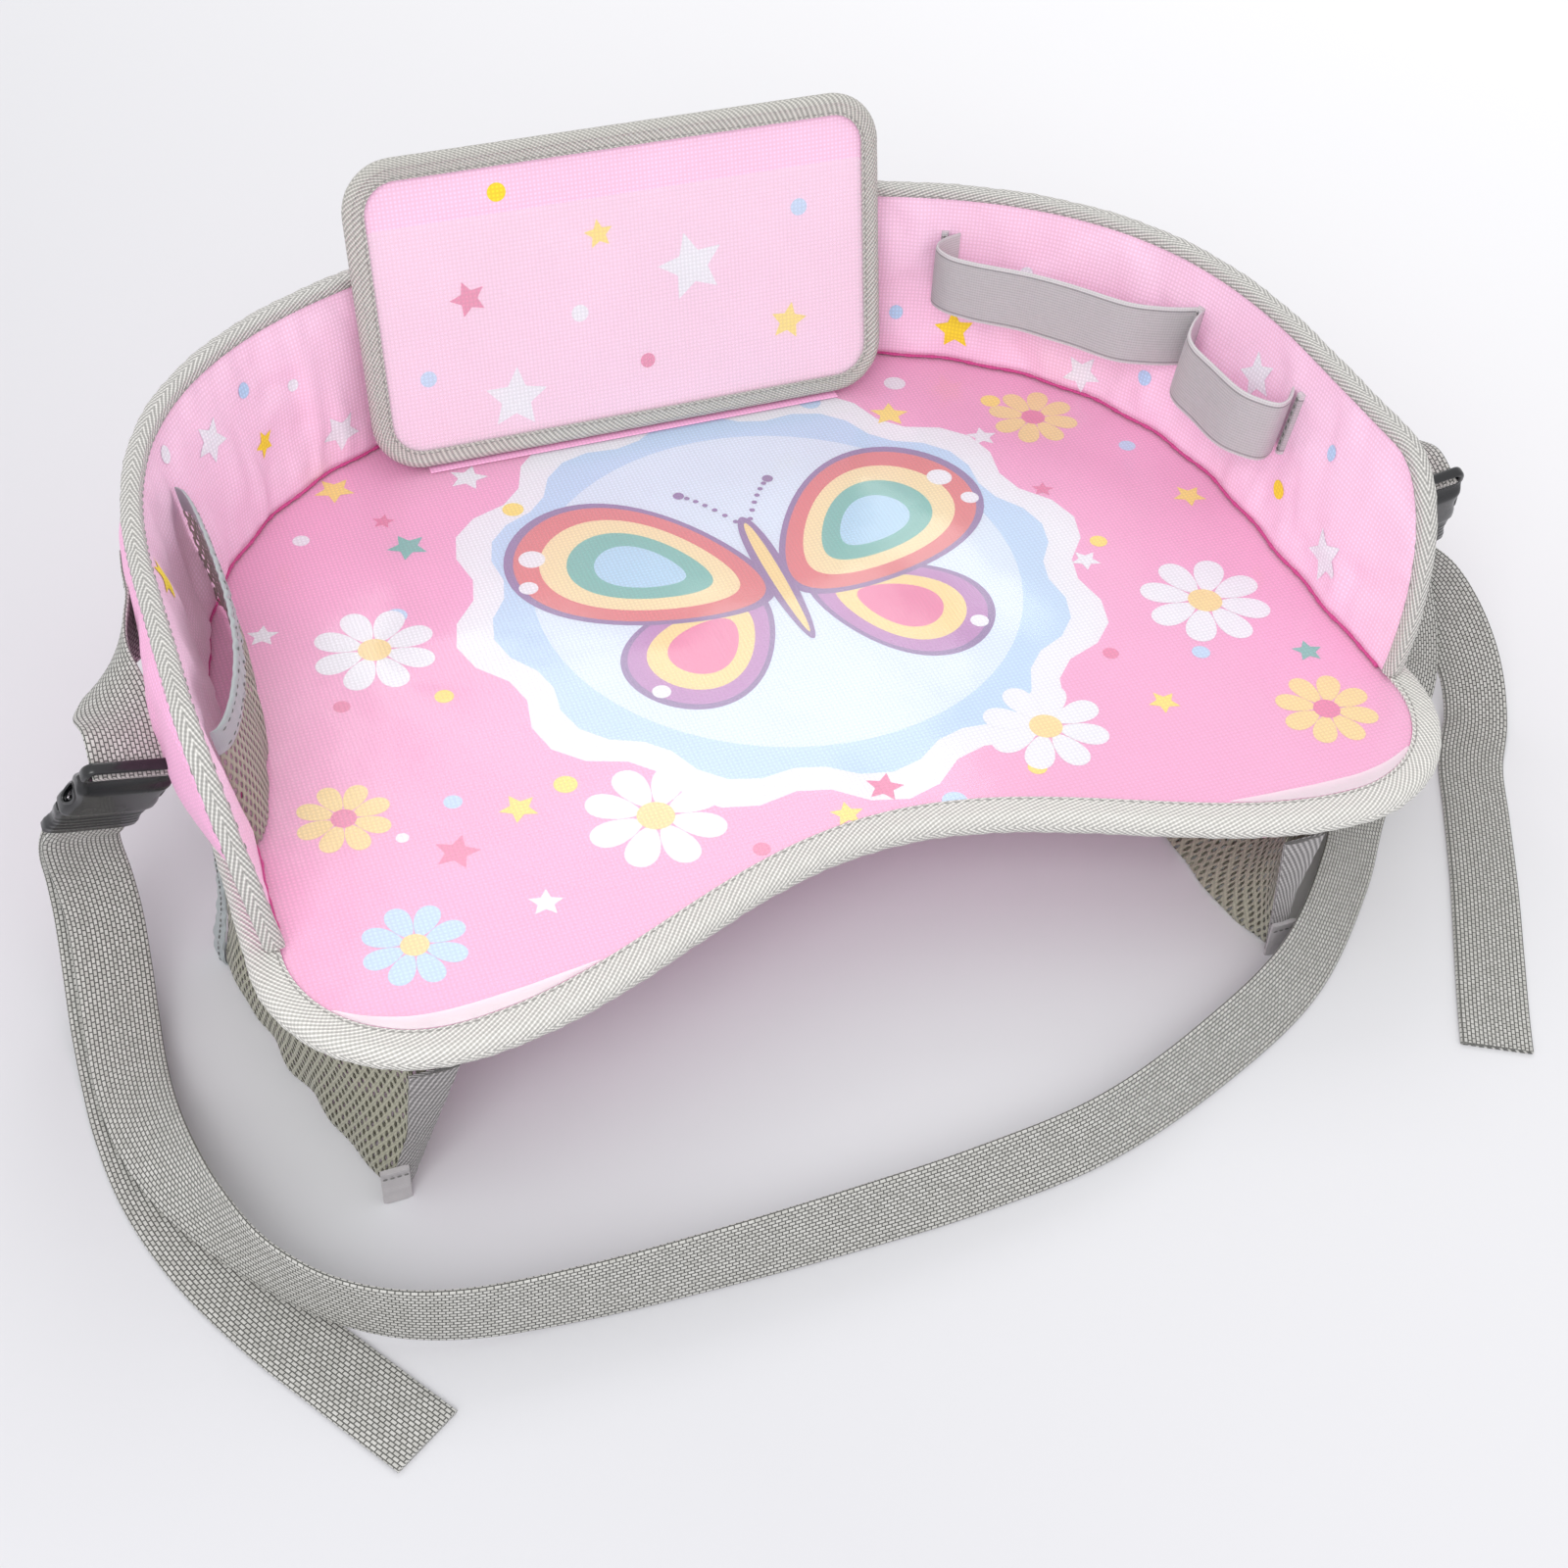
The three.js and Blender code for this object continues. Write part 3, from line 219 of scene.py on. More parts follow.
def webbing_tape(name, dark, light):
    """Polypropylene webbing: 18 rib columns to 25 mm, each a row of offset picks, light threads."""
    rib, pick, thread_mm = 1.39, 2.2, 0.45
    made, tree, output = start_material(name)
    scaled, u, _ = uv_parts(tree)
    values = {
        "Vector": scaled,
        "Color1": linear(dark),
        "Color2": linear(light),
        "Mortar": linear("#5c5c59"),
        "Scale": 1.0,
        "Mortar Size": 0.24,
        "Mortar Smooth": 0.5,
        "Bias": 0.1,
        "Brick Width": pick,
        "Row Height": rib,
    }
    bricks = add(tree, "ShaderNodeTexBrick", values, offset=0.5)
    thread = wave(tree, u, thread_mm)
    fuzz = object_noise(tree, 1.1, 3.0)
    tone = tint(tree, bricks.outputs["Color"], thread, 0.9, 1.08)
    tone = tint(tree, tone, fuzz, 0.95, 1.05)
    height = calc(tree, "SUBTRACT", calc(tree, "MULTIPLY", thread, 0.25), bricks.outputs["Fac"])
    principled(tree, output, tone, bumped(tree, height, 0.35, 0.8), 0.62, 0.35, 0.1)
    return made


def binding_tape(name, colour, edge_mm, slant, pitch, roughness=0.6, dark=0.6):
    """Woven binding: slanting ribs that turn back at edge_mm across, as a herringbone does, with
    short ticks across them where the yarns pass under each other."""
    made, tree, output = start_material(name)
    _, u, v = uv_parts(tree)
    away = calc(tree, "ABSOLUTE", calc(tree, "SUBTRACT", v, edge_mm))
    slanted = calc(tree, "MULTIPLY_ADD", away, slant, u)
    ribs = wave(tree, slanted, pitch)
    yarn = wave(tree, v, 0.5)
    grain = object_noise(tree, 1.4, 3.0)
    ticks = wave(tree, calc(tree, "MULTIPLY_ADD", away, -0.5, u), 1.5)
    tone = tint(tree, linear(colour), ribs, dark, 1.12)
    tone = tint(tree, tone, ticks, 0.86, 1.08)
    tone = tint(tree, tone, yarn, 0.96, 1.03)
    tone = tint(tree, tone, grain, 0.9, 1.1)
    height = calc(tree, "MULTIPLY_ADD", ticks, 0.3, ribs)
    principled(tree, output, tone, bumped(tree, height, 0.45, 0.8), roughness, 0.35, 0.1)
    return made


def ribbed_elastic(name, colour):
    """Knitted elastic: fine ribs along it, crossed by rows of rubber, with a paler selvedge beyond a
    dark groove along both edges of its 25 mm face."""
    middle, selvedge_mm, groove_at = 12.8, 1.3, 1.7
    made, tree, output = start_material(name)
    _, u, v = uv_parts(tree)
    ribs = wave(tree, v, 1.1)
    rows = wave(tree, u, 1.0)
    grain = object_noise(tree, 1.5, 3.0)
    height = calc(tree, "MULTIPLY_ADD", rows, 0.5, ribs)
    from_middle = calc(tree, "ABSOLUTE", calc(tree, "SUBTRACT", v, middle))
    from_edge = calc(tree, "SUBTRACT", middle, from_middle)
    selvedge = calc(tree, "LESS_THAN", from_edge, selvedge_mm)
    from_groove = calc(tree, "ABSOLUTE", calc(tree, "SUBTRACT", from_edge, groove_at))
    groove = calc(tree, "LESS_THAN", from_groove, 0.4)
    tone = tint(tree, linear(colour), height, 0.8, 1.03)
    tone = tint(tree, tone, grain, 0.93, 1.07)
    tone = tint(tree, tone, selvedge, 1.0, 1.28)
    tone = tint(tree, tone, groove, 1.0, 0.68)
    principled(tree, output, tone, bumped(tree, height, 0.12, 0.6), 0.55, 0.4, 0.1)
    return made


def satin_trim(name, colour):
    """Folded satin tape: smooth, with a soft shine and threads too fine to count."""
    made, tree, output = start_material(name)
    _, u, _ = uv_parts(tree)
    threads = wave(tree, u, 0.7)
    grain = object_noise(tree, 4.0, 3.0)
    tone = tint(tree, linear(colour), threads, 0.94, 1.04)
    tone = tint(tree, tone, grain, 0.9, 1.1)
    principled(tree, output, tone, bumped(tree, threads, 0.06, 0.4), 0.42, 0.5, 0.1)
    return made


def knitted_mesh(name, colour):
    """Pocket netting: a close knit with oval holes, 3.2 mm apart in rows that stand 3.2 mm apart
    and offset by half a step, and rounded yarn between them, darkened towards the holes as painted shade."""
    across, along, hole_share = 3.2, 6.4, 0.215
    made, tree, output = start_material(name)
    _, u, v = uv_parts(tree)
    values = {0: calc(tree, "DIVIDE", u, across), 1: calc(tree, "DIVIDE", v, along)}
    cells = add(tree, "ShaderNodeCombineXYZ", values).outputs[0]

    def lattice(move):
        """How far each spot lies from its cell's middle, with the cells moved on by a share."""
        place = cells
        steps = (("ADD", (move, move, 0)), ("FRACTION", (0, 0, 0)), ("SUBTRACT", (0.5, 0.5, 0)))
        for operation, second in steps:
            place = add(tree, "ShaderNodeVectorMath", {0: place, 1: second}, operation=operation).outputs[0]
        return add(tree, "ShaderNodeVectorMath", {0: place}, operation="LENGTH").outputs["Value"]

    away = calc(tree, "MINIMUM", lattice(0.0), lattice(0.5))
    yarn = calc(tree, "GREATER_THAN", away, hole_share)
    grain = object_noise(tree, 0.8, 2.0)
    knit = wave(tree, calc(tree, "MULTIPLY_ADD", v, 0.6, u), 1.1)
    tone = tint(tree, linear(colour), grain, 0.85, 1.15)
    tone = tint(tree, tone, knit, 0.85, 1.1)
    # painted shade: the yarn's colour darkens to 0.55 towards each hole, standing in for shading of its
    # round sides
    rise = calc(tree, "MINIMUM", calc(tree, "MULTIPLY", away, 2.6), 1.0)
    values = {
        "Base Color": tint(tree, tone, rise, 0.55, 1.05),
        "Roughness": 0.6,
        "Sheen Weight": 0.2,
        "Normal": bumped(tree, away, 0.8, 0.7),
    }
    shader = add(tree, "ShaderNodeBsdfPrincipled", values)
    clear = add(tree, "ShaderNodeBsdfTransparent")
    mixed = add(tree, "ShaderNodeMixShader", {0: yarn, 1: clear.outputs[0], 2: shader.outputs[0]})
    tree.links.new(mixed.outputs[0], output.inputs[0])
    return made


def clear_vinyl(name, veil, ripple_mm=26.0):
    """Clear vinyl sheet: seen through, with a faint milky veil and bright streaks at its ripples."""
    made, tree, output = start_material(name)
    ripples = object_noise(tree, ripple_mm, 1.5)
    fine = object_noise(tree, 6.0, 2.0)
    height = calc(tree, "MULTIPLY_ADD", fine, 0.015, ripples)
    normal = bumped(tree, height, 0.8, 0.6)
    front = calc(tree, "SUBTRACT", 1.0, add(tree, "ShaderNodeNewGeometry").outputs["Backfacing"])
    clear = add(tree, "ShaderNodeBsdfTransparent")
    milky = add(tree, "ShaderNodeBsdfDiffuse", {"Color": linear("#ffffff")})
    veiled = calc(tree, "MULTIPLY", front, veil)
    body = add(tree, "ShaderNodeMixShader", {0: veiled, 1: clear.outputs[0], 2: milky.outputs[0]})
    values = {"Color": linear("#ffffff"), "Roughness": 0.17, "Normal": normal}
    shine = add(tree, "ShaderNodeBsdfGlossy", values)
    fresnel = add(tree, "ShaderNodeFresnel", {"IOR": 1.45, "Normal": normal}).outputs[0]
    mirror = calc(tree, "MULTIPLY", fresnel, front)
    both = add(tree, "ShaderNodeMixShader", {0: mirror, 1: body.outputs[0], 2: shine.outputs[0]})
    tree.links.new(both.outputs[0], output.inputs[0])
    return made


def moulded_plastic(name, colour):
    """Moulded acetal: glossy black with a very fine grain and slightly duller flats."""
    roughness = 0.24
    made, tree, output = start_material(name)
    grain = object_noise(tree, 0.5, 2.0)
    dull = object_noise(tree, 7.0, 2.0)
    values = {"Value": dull, "To Min": roughness * 0.8, "To Max": roughness * 1.35}
    rough = add(tree, "ShaderNodeMapRange", values).outputs[0]
    tone = tint(tree, linear(colour), grain, 0.85, 1.15)
    principled(tree, output, tone, bumped(tree, grain, 0.015, 0.3), rough, 0.5, 0.0, 0.25)
    return made


def thread(name, colour):
    """Sewing thread: two plies twisted together, slightly glossy."""
    made, tree, output = start_material(name)
    twist = object_noise(tree, 0.4, 2.0)
    tone = tint(tree, linear(colour), twist, 0.8, 1.15)
    principled(tree, output, tone, bumped(tree, twist, 0.08, 0.5), 0.5, 0.4, 0.1)
    return made


def plain_core(name, colour, roughness, pore_mm):
    """Board or foam inside the cloth: pale, with pores of about pore_mm."""
    made, tree, output = start_material(name)
    pores = object_noise(tree, pore_mm, 3.0)
    tone = tint(tree, linear(colour), pores, 0.85, 1.1)
    principled(tree, output, tone, bumped(tree, pores, 0.3, 0.5), roughness, 0.3)
    return made


PINK = oxford_cloth("pink_oxford_cloth", "#fdbbe2")
# painted light: the lining is a lighter copy of the pink, making up for the shade inside the wall
LINING_PAINTED_LIGHT = oxford_cloth("pink_lining_cloth_painted_light", "#ffd3ed")
# painted shadow: the seam cord's dark pink stands in for the shade line where the wall meets the floor
SEAM_PAINTED_SHADOW = oxford_cloth("seam_cloth_painted_shadow", "#cf4f90")
UNDER_FILM = oxford_cloth("pink_cloth_under_film", "#f79dd0")
# painted light: the panel's front cloth is a lighter copy of the pink, making up for less light on its
# upright face
PANEL_CLOTH_PAINTED_LIGHT = oxford_cloth("pink_panel_cloth_painted_light", "#fed0eb")
PRINT = oxford_cloth("printed_ink_on_cloth", None, printed=True)
STRAP = webbing_tape("grey_polypropylene_webbing", "#bcbbb6", "#cfceca")
BASE_TAPE = binding_tape("grey_base_binding", "#eeece7", 13.4, 1.7, 2.7)
WALL_TAPE = binding_tape("grey_wall_binding", "#dedcd8", 6.6, 2.4, 3.4, dark=0.5)
PANEL_TAPE = binding_tape("grey_panel_binding", "#d3d1cb", 9.9, 1.4, 2.1)
POCKET_TAPE = binding_tape("grey_pocket_binding", "#aeaaab", -60.0, 2.6, 3.6, 0.5, dark=0.42)
ELASTIC = ribbed_elastic("grey_ribbed_elastic", "#b9b6b8")
TRIM = satin_trim("grey_blue_satin_trim", "#a7aeb0")
TAB = satin_trim("grey_satin_tab", "#b7b3b5")
NET = knitted_mesh("grey_knitted_mesh", "#a3a18f")
FLOOR_FILM = clear_vinyl("clear_floor_vinyl", 0.2)
PANEL_FILM = clear_vinyl("clear_panel_vinyl", 0.25, 34.0)
# painted highlight: a milky veil of 0.5 makes the film's turned-up edge pale, standing in for a highlight
# on it
FILM_LIP_PAINTED_HIGHLIGHT = clear_vinyl("clear_vinyl_painted_highlight", 0.5, 15.0)
BLACK = moulded_plastic("black_moulded_acetal", "#141518")
DARK_THREAD = thread("dark_grey_thread", "#6a6a68")
GREY_THREAD = thread("grey_thread", "#999794")
BOARD = plain_core("white_board", "#e9e7e0", 0.6, 1.2)
FOAM = plain_core("white_foam", "#efece2", 0.9, 0.5)


# Meshes

# The four corners of a grid's face, as steps along its rows and columns
FACE_CORNERS = ((0, 0), (1, 0), (1, 1), (0, 1))


def make_mesh(name, places, quads, caps, quad_uv, cap_uv, material, body, closed=True):
    """A mesh from places in drawing millimetres. If a closed one's volume, a sum of dot(a, b x c)
    over its triangles, is negative, all faces are turned round."""
    places = np.asarray(places, float)
    volume = 0.0
    for first, second in ((1, 2), (2, 3)):
        a, b, c = places[quads[:, 0]], places[quads[:, first]], places[quads[:, second]]
        volume += np.einsum("ij,ij->", a, np.cross(b, c))
    for cap in caps:
        a, b, c = places[cap[:1]], places[cap[1:-1]], places[cap[2:]]
        volume += np.einsum("ij,ij->", np.broadcast_to(a, b.shape), np.cross(b, c))
    if closed and volume < 0:
        quads, quad_uv = quads[:, ::-1], quad_uv[:, ::-1]
        caps, cap_uv = [cap[::-1] for cap in caps], [uv[::-1] for uv in cap_uv]
    corners = np.concatenate([quads.ravel(), *caps]).astype(np.int32)
    sizes = np.concatenate([np.full(len(quads), 4), [len(cap) for cap in caps]]).astype(np.int32)
    mesh = bpy.data.meshes.new(name)
    mesh.vertices.add(len(places))
    mesh.vertices.foreach_set("co", row_frame(places).astype(np.float32).ravel())
    mesh.loops.add(len(corners))
    mesh.loops.foreach_set("vertex_index", corners)
    mesh.polygons.add(len(sizes))
    mesh.polygons.foreach_set("loop_start", (np.cumsum(sizes) - sizes).astype(np.int32))
    mesh.update(calc_edges=True)
    layer = mesh.uv_layers.new(name="UVMap")
    flat = np.concatenate([quad_uv.reshape(-1, 2), *cap_uv]) * MM
    layer.data.foreach_set("uv", flat.astype(np.float32).ravel())
    mesh.shade_smooth()
    mesh.set_sharp_from_angle(angle=np.radians(50))
    piece = bpy.data.objects.new(name, mesh)
    bpy.context.scene.collection.objects.link(piece)
    mesh.materials.append(material)
    if body:
        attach(piece, body)
    return piece


def arc_uv(places, even):
    """u is the length along the rows' direction and v along the columns', in millimetres,
    each the mean over the grid where even is set, so that a pattern runs straight."""
    along = np.linalg.norm(np.diff(places, axis=0), axis=2)
    across = np.linalg.norm(np.diff(places, axis=1), axis=2)
    if even:
        along = np.broadcast_to(along.mean(1, keepdims=True), along.shape)
        across = np.broadcast_to(across.mean(0, keepdims=True), across.shape)
    u = np.pad(np.cumsum(along, 0), ((1, 0), (0, 0)))
    v = np.pad(np.cumsum(across, 1), ((0, 0), (1, 0)))
    return np.stack([u, v], -1)


def grid_piece(name, places, material, body, ring=False, tube=True, uv=None, even=True):
    """A surface over rows and columns of places. A tube's columns close round its section, and its
    ends are capped unless it is also a ring, whose rows close."""
    rows, columns = places.shape[:2]
    wide = np.concatenate([places, places[:, :1]], 1) if tube else places
    full = np.concatenate([wide, wide[:1]], 0) if ring else wide
    if uv is None:
        uv = arc_uv(full, even)
    i = np.arange(full.shape[0] - 1)[:, None]
    j = np.arange(full.shape[1] - 1)[None, :]
    quads = np.stack([(i + a) % rows * columns + (j + b) % columns for a, b in FACE_CORNERS], -1)
    quads = quads.reshape(-1, 4)
    quad_uv = np.stack([uv[i + a, j + b] for a, b in FACE_CORNERS], 2).reshape(-1, 4, 2)
    caps, cap_uv = [], []
    if tube and not ring:
        around = np.arange(columns)
        caps = [around, (rows - 1) * columns + around[::-1]]
        cap_uv = [uv[0, :columns], uv[-1, :columns][::-1]]
    flat = places.reshape(-1, 3)
    return make_mesh(name, flat, quads, caps, quad_uv, cap_uv, material, body, tube)


def plan_uv(places, x=0, y=1):
    """UV straight from two of the places' own coordinates, closed as the grid is."""
    wide = np.concatenate([places, places[:, :1]], 1)
    return wide[..., [x, y]]


def thicken(piece, thickness_mm):
    """A sheet's thickness, half of it on each side of its grid."""
    wall = piece.modifiers.new("thickness", "SOLIDIFY")
    wall.thickness = thickness_mm * MM
    wall.offset = 0.0
    wall.use_even_offset = True


def lerp(a, b, t):
    """A straight blend: a + (b - a) t."""
    return a + (b - a) * t


def smoothstep(value, low, high):
    """An eased step from 0 at low to 1 at high: t^2 (3 - 2 t)."""
    t = np.clip((value - low) / (high - low), 0, 1)
    return t * t * (3 - 2 * t)


def unit(vectors):
    """Each vector over its own length."""
    return vectors / np.linalg.norm(vectors, axis=-1, keepdims=True)


def full_turn(count):
    """Equal steps once round, in radians."""
    return np.arange(count) / count * 2 * np.pi


def wobble(t, *waves):
    """A sum of sines: each wave is (amplitude, pitch, phase) along t."""
    return sum(size * np.sin(2 * np.pi * t / pitch + phase) for size, pitch, phase in waves)


# Curves for webbing

def spline(points):
    """A centripetal Catmull-Rom curve: each span is the cubic whose end slopes come from its
    neighbours, weighed by the square roots of the spans' lengths, in 24 steps."""
    fine = 24
    p = np.vstack([2 * points[0] - points[1], points, 2 * points[-1] - points[-2]])
    gaps = np.linalg.norm(np.diff(p[:, :3], axis=0), axis=1) ** 0.5
    a, b, c = gaps[:-2, None], gaps[1:-1, None], gaps[2:, None]
    x0, x1, x2, x3 = p[:-3], p[1:-2], p[2:-1], p[3:]
    m1 = ((x1 - x0) / a - (x2 - x0) / (a + b) + (x2 - x1) / b) * b
    m2 = ((x2 - x1) / b - (x3 - x1) / (b + c) + (x3 - x2) / c) * b
    t = (np.arange(fine) / fine)[None, :, None]
    x0, x1, x2, m1, m2 = (v[:, None] for v in (x0, x1, x2, m1, m2))
    curve = x1 + m1 * t
    curve = curve + (3 * (x2 - x1) - 2 * m1 - m2) * t**2 + (2 * (x1 - x2) + m1 + m2) * t**3
    return np.vstack([curve.reshape(-1, p.shape[1]), points[-1:]])


def path_lengths(path):
    """The length of a line of points up to each of them."""
    return np.r_[0, np.cumsum(np.linalg.norm(np.diff(path, axis=0), axis=1))]


def even_steps(curve, step):
    """The curve's points at equal lengths of about step, measured over its places."""
    lengths = path_lengths(curve[:, :3])
    marks = np.linspace(0, lengths[-1], max(int(round(lengths[-1] / step)), 4) + 1)
    return np.stack([np.interp(marks, lengths, curve[:, k]) for k in range(curve.shape[1])], 1)


def strip(route, step=2.5):
    """Webbing along a route of places and width directions: at each step a flat section with
    rounded edges stands square to the curve."""
    width, thickness = WEBBING_WIDTH, WEBBING_THICK
    path = even_steps(spline(np.asarray(route, float)), step)
    place, across = path[:, :3], unit(path[:, 3:])
    tangent = unit(np.gradient(place, axis=0))
    side = unit(across - tangent * np.sum(across * tangent, 1, keepdims=True))
    normal = np.cross(tangent, side)
    half = width / 2 - thickness / 2
    turn = np.linspace(-np.pi / 2, np.pi / 2, 5)
    edge = np.stack([half + thickness / 2 * np.cos(turn), thickness / 2 * np.sin(turn)], 1)
    flat = np.linspace(half, -half, 8)[1:-1]
    top = np.stack([flat, np.full(6, thickness / 2)], 1)
    section = np.vstack([edge, top, -edge, -top])
    grid = place[:, None] + side[:, None] * section[None, :, :1] + normal[:, None] * section[None, :, 1:]
    around = path_lengths(np.vstack([section, section[:1]]))
    u, v = np.meshgrid(path_lengths(place), around, indexing="ij")
    return grid, np.stack([u, v], -1), place


# The free webbing, made first

# Route of the waist strap from the left plug to the right one: place, then direction of its width
STRAP_ROUTE = [
    (-249.3, -49.2, 75.1, 0.926, 0.172, -0.335),
    (-250.3, -48.2, 72.9, 0.926, 0.172, -0.335),
    (-252.1, -46, 68.9, 0.926, 0.172, -0.335),
    (-252.5, -42, 57, 0.99, 0.1, -0.05),
    (-251.5, -41.5, 44, 1, 0.03, 0),
    (-251, -46.5, 30, 1, 0, 0),
    (-252, -57, 17.5, 1, 0, 0.03),
    (-253.5, -74, 9.5, 0.99, 0, 0.13),
    (-254.5, -97, 7, 0.96, 0.02, 0.27),
    (-253, -121, 9.5, 0.86, 0.06, 0.5),
    (-248, -145, 12.5, 0.65, 0.12, 0.75),
    (-240, -167, 14.5, 0.35, 0.13, 0.93),
    (-229, -188, 15, 0.08, 0.06, 1),
    (-214, -206, 15, 0, 0, 1),
    (-197, -218, 14.9, 0, 0, 1),
    (-176, -225, 14, 0, 0.03, 1),
    (-140, -229, 12.8, 0, 0.1, 1),
    (-100, -231, 12.8, 0, 0.18, 0.98),
    (-55, -231.5, 12.4, 0, 0.28, 0.96),
    (-10, -230.5, 12.1, 0, 0.36, 0.93),
    (36, -225.5, 11.8, -0.08, 0.42, 0.9),
    (86, -209, 11.2, -0.22, 0.5, 0.84),
    (134, -185, 10.3, -0.42, 0.5, 0.76),
    (174, -149, 9.6, -0.62, 0.42, 0.66),
    (201, -117, 8, -0.78, 0.35, 0.52),
    (226, -93, 12, -0.86, 0.2, 0.47),
    (247, -75, 23, -0.88, 0.1, 0.46),
    (252, -63, 35, -0.92, 0.05, 0.4),
    (250, -56, 46, -0.96, 0.05, 0.25),
    (246.5, -53, 56, -0.98, 0.07, 0.02),
    (244.8, -52.8, 63.9, -0.972, 0.071, -0.18),
    (243.6, -54.2, 68.6, -0.972, 0.071, -0.224),
    (242.9, -55.1, 71.3, -0.972, 0.071, -0.224),
]
LEFT_TAIL = [
    (-248.9, -46.7, 76.9, 0.926, 0.172, -0.335),
    (-250, -45.4, 74.4, 0.926, 0.172, -0.335),
    (-251.9, -43.2, 70.3, 0.94, 0.16, -0.26),
    (-254, -37.5, 57, 0.99, 0.1, -0.05),
    (-254, -36.5, 43, 1, 0.03, 0),
    (-254.5, -41, 28, 1, 0, 0),
    (-256, -52, 14, 1, 0, 0),
    (-257.5, -68, 5, 1, 0, 0),
    (-258, -90, 1.6, 1, 0.02, 0),
    (-257.5, -112, 1, 1, 0.05, 0),
    (-254, -140, 1, 0.97, 0.2, 0),
    (-245, -170, 1, 0.93, 0.36, 0),
    (-231, -199, 1, 0.88, 0.47, 0),
    (-214, -227, 1, 0.84, 0.54, 0),
    (-197, -254, 1, 0.83, 0.55, 0),
]
RIGHT_TAIL = [
    (242.9, -52.2, 72.2, -0.972, 0.071, -0.224),
    (243.6, -51.3, 69.4, -0.972, 0.071, -0.224),
    (245, -49.5, 64.7, -0.96, 0.12, -0.25),
    (253, -47, 56, -0.93, 0.22, -0.28),
    (264, -51, 46, -0.9, 0.35, -0.2),
    (273, -61, 31, -0.9, 0.42, -0.08),
    (277, -74, 15, -0.89, 0.45, 0),
    (273, -88, 4.5, -0.88, 0.47, 0),
    (259, -107, 1.2, -0.87, 0.49, 0),
    (245, -132, 1, -0.87, 0.49, 0),
    (227, -164, 1, -0.87, 0.49, 0),
    (209, -194, 1, -0.87, 0.49, 0),
    (194, -219, 1, -0.87, 0.49, 0),
    (186, -233, 1, -0.87, 0.49, 0),
]


def free_webbing(name, node, grid, uv, path, side, far_end):
    """A stretch of webbing from the tray to its plug."""
    piece = grid_piece(name, grid, STRAP, None, uv=uv)
    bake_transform(piece)
    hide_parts(node)
    path = row_frame(path)


def make_free_webbing():
    """The strap's loop in two halves, each led from its own plug, and the two tails."""
    loop = strip(STRAP_ROUTE)
    half = len(loop[2]) // 2
    halves = {
        "left": [values[: half + 1] for values in loop],
        "right": [values[half:][::-1] for values in loop],
    }
    for side, grids in halves.items():
        free_webbing(f"strap_loop_{side}", "strap_loop", *grids, side, "object")
    for side, tail in (("left", LEFT_TAIL), ("right", RIGHT_TAIL)):
        free_webbing(f"strap_{side}_tail_end", f"strap_{side}_tail", *strip(tail), side, "bare")


make_free_webbing()


# The base's edge and the wall

def half_outline():
    """Right half of the base's edge from the back centre: x = 213 sin^(2/2.35), y = -11 + 180
    cos^(2/2.35), then straight, a lobe of radius 55, and a belly y = -169 + 21 (1 + cos(pi x/158))."""
    t = np.linspace(0, np.pi / 2, 400)
    back = np.stack([213 * np.sin(t) ** (2 / 2.35), -11 + 180 * np.cos(t) ** (2 / 2.35)], 1)
    side = np.stack([np.full(120, 213.0), np.linspace(-11, -114, 120)], 1)
    lobe = np.stack([158 + 55 * np.cos(t), -114 - 55 * np.sin(t)], 1)
    x = np.linspace(158, 0, 300)
    belly = np.stack([x, -169 + 21 * (1 + np.cos(np.pi * x / 158))], 1)
    return np.vstack([back, side[1:], lobe[1:], belly[1:]])


OUTLINE = half_outline()
OUTLINE_LENGTH = path_lengths(OUTLINE)
HALF_EDGE = OUTLINE_LENGTH[-1]
CORNER_LENGTH = OUTLINE_LENGTH[399]
slope = unit(np.gradient(OUTLINE, axis=0))
OUTLINE_NORMAL = np.stack([-slope[:, 1], slope[:, 0]], 1)
WALL_HALF = CORNER_LENGTH - 11 + 111
WALL_FLAT = WALL_HALF - END_ROUND


def edge_place(along, inset, z):
    """The place at a length along the base's edge from the back centre, right positive, moved
    inward by inset, at a height z."""
    along, inset, z = np.broadcast_arrays(np.asarray(along, float), inset, z)
    length = np.minimum(np.abs(along), HALF_EDGE)
    side = np.where(along < 0, -1.0, 1.0)
    x, y = (np.interp(length, OUTLINE_LENGTH, OUTLINE[:, k]) for k in (0, 1))
    nx, ny = (np.interp(length, OUTLINE_LENGTH, OUTLINE_NORMAL[:, k]) for k in (0, 1))
    return np.stack([(x - nx * inset) * side, y - ny * inset, z], -1)


def wall_place(along, height, offset):
    """The place on the wall's inner face, moved outward by offset: the foot stands 12 mm in from
    the edge and the top leans out by 3 mm at the back to 12 mm at the sides."""
    flare = lerp(3.0, 12.0, smoothstep(np.abs(along), 90, 250))
    inset = WALL_INSET - flare * height / WALL_HEIGHT - offset
    return edge_place(along, inset, WALL_FOOT + height)


def away_from_ends(along):
    """0 under the binding at the wall's front ends, and 1 from where its top is level."""
    return smoothstep(WALL_HALF - np.abs(along), BINDING_LEG, END_ROUND)


def pucker(along, up):
    """How far the gathered lining stands in: 1.2 mm crests each 36 mm, gone at the top."""
    return 1.2 * (1 - np.cos(2 * np.pi * along / 36)) / 2 * (1 - up) * away_from_ends(along)


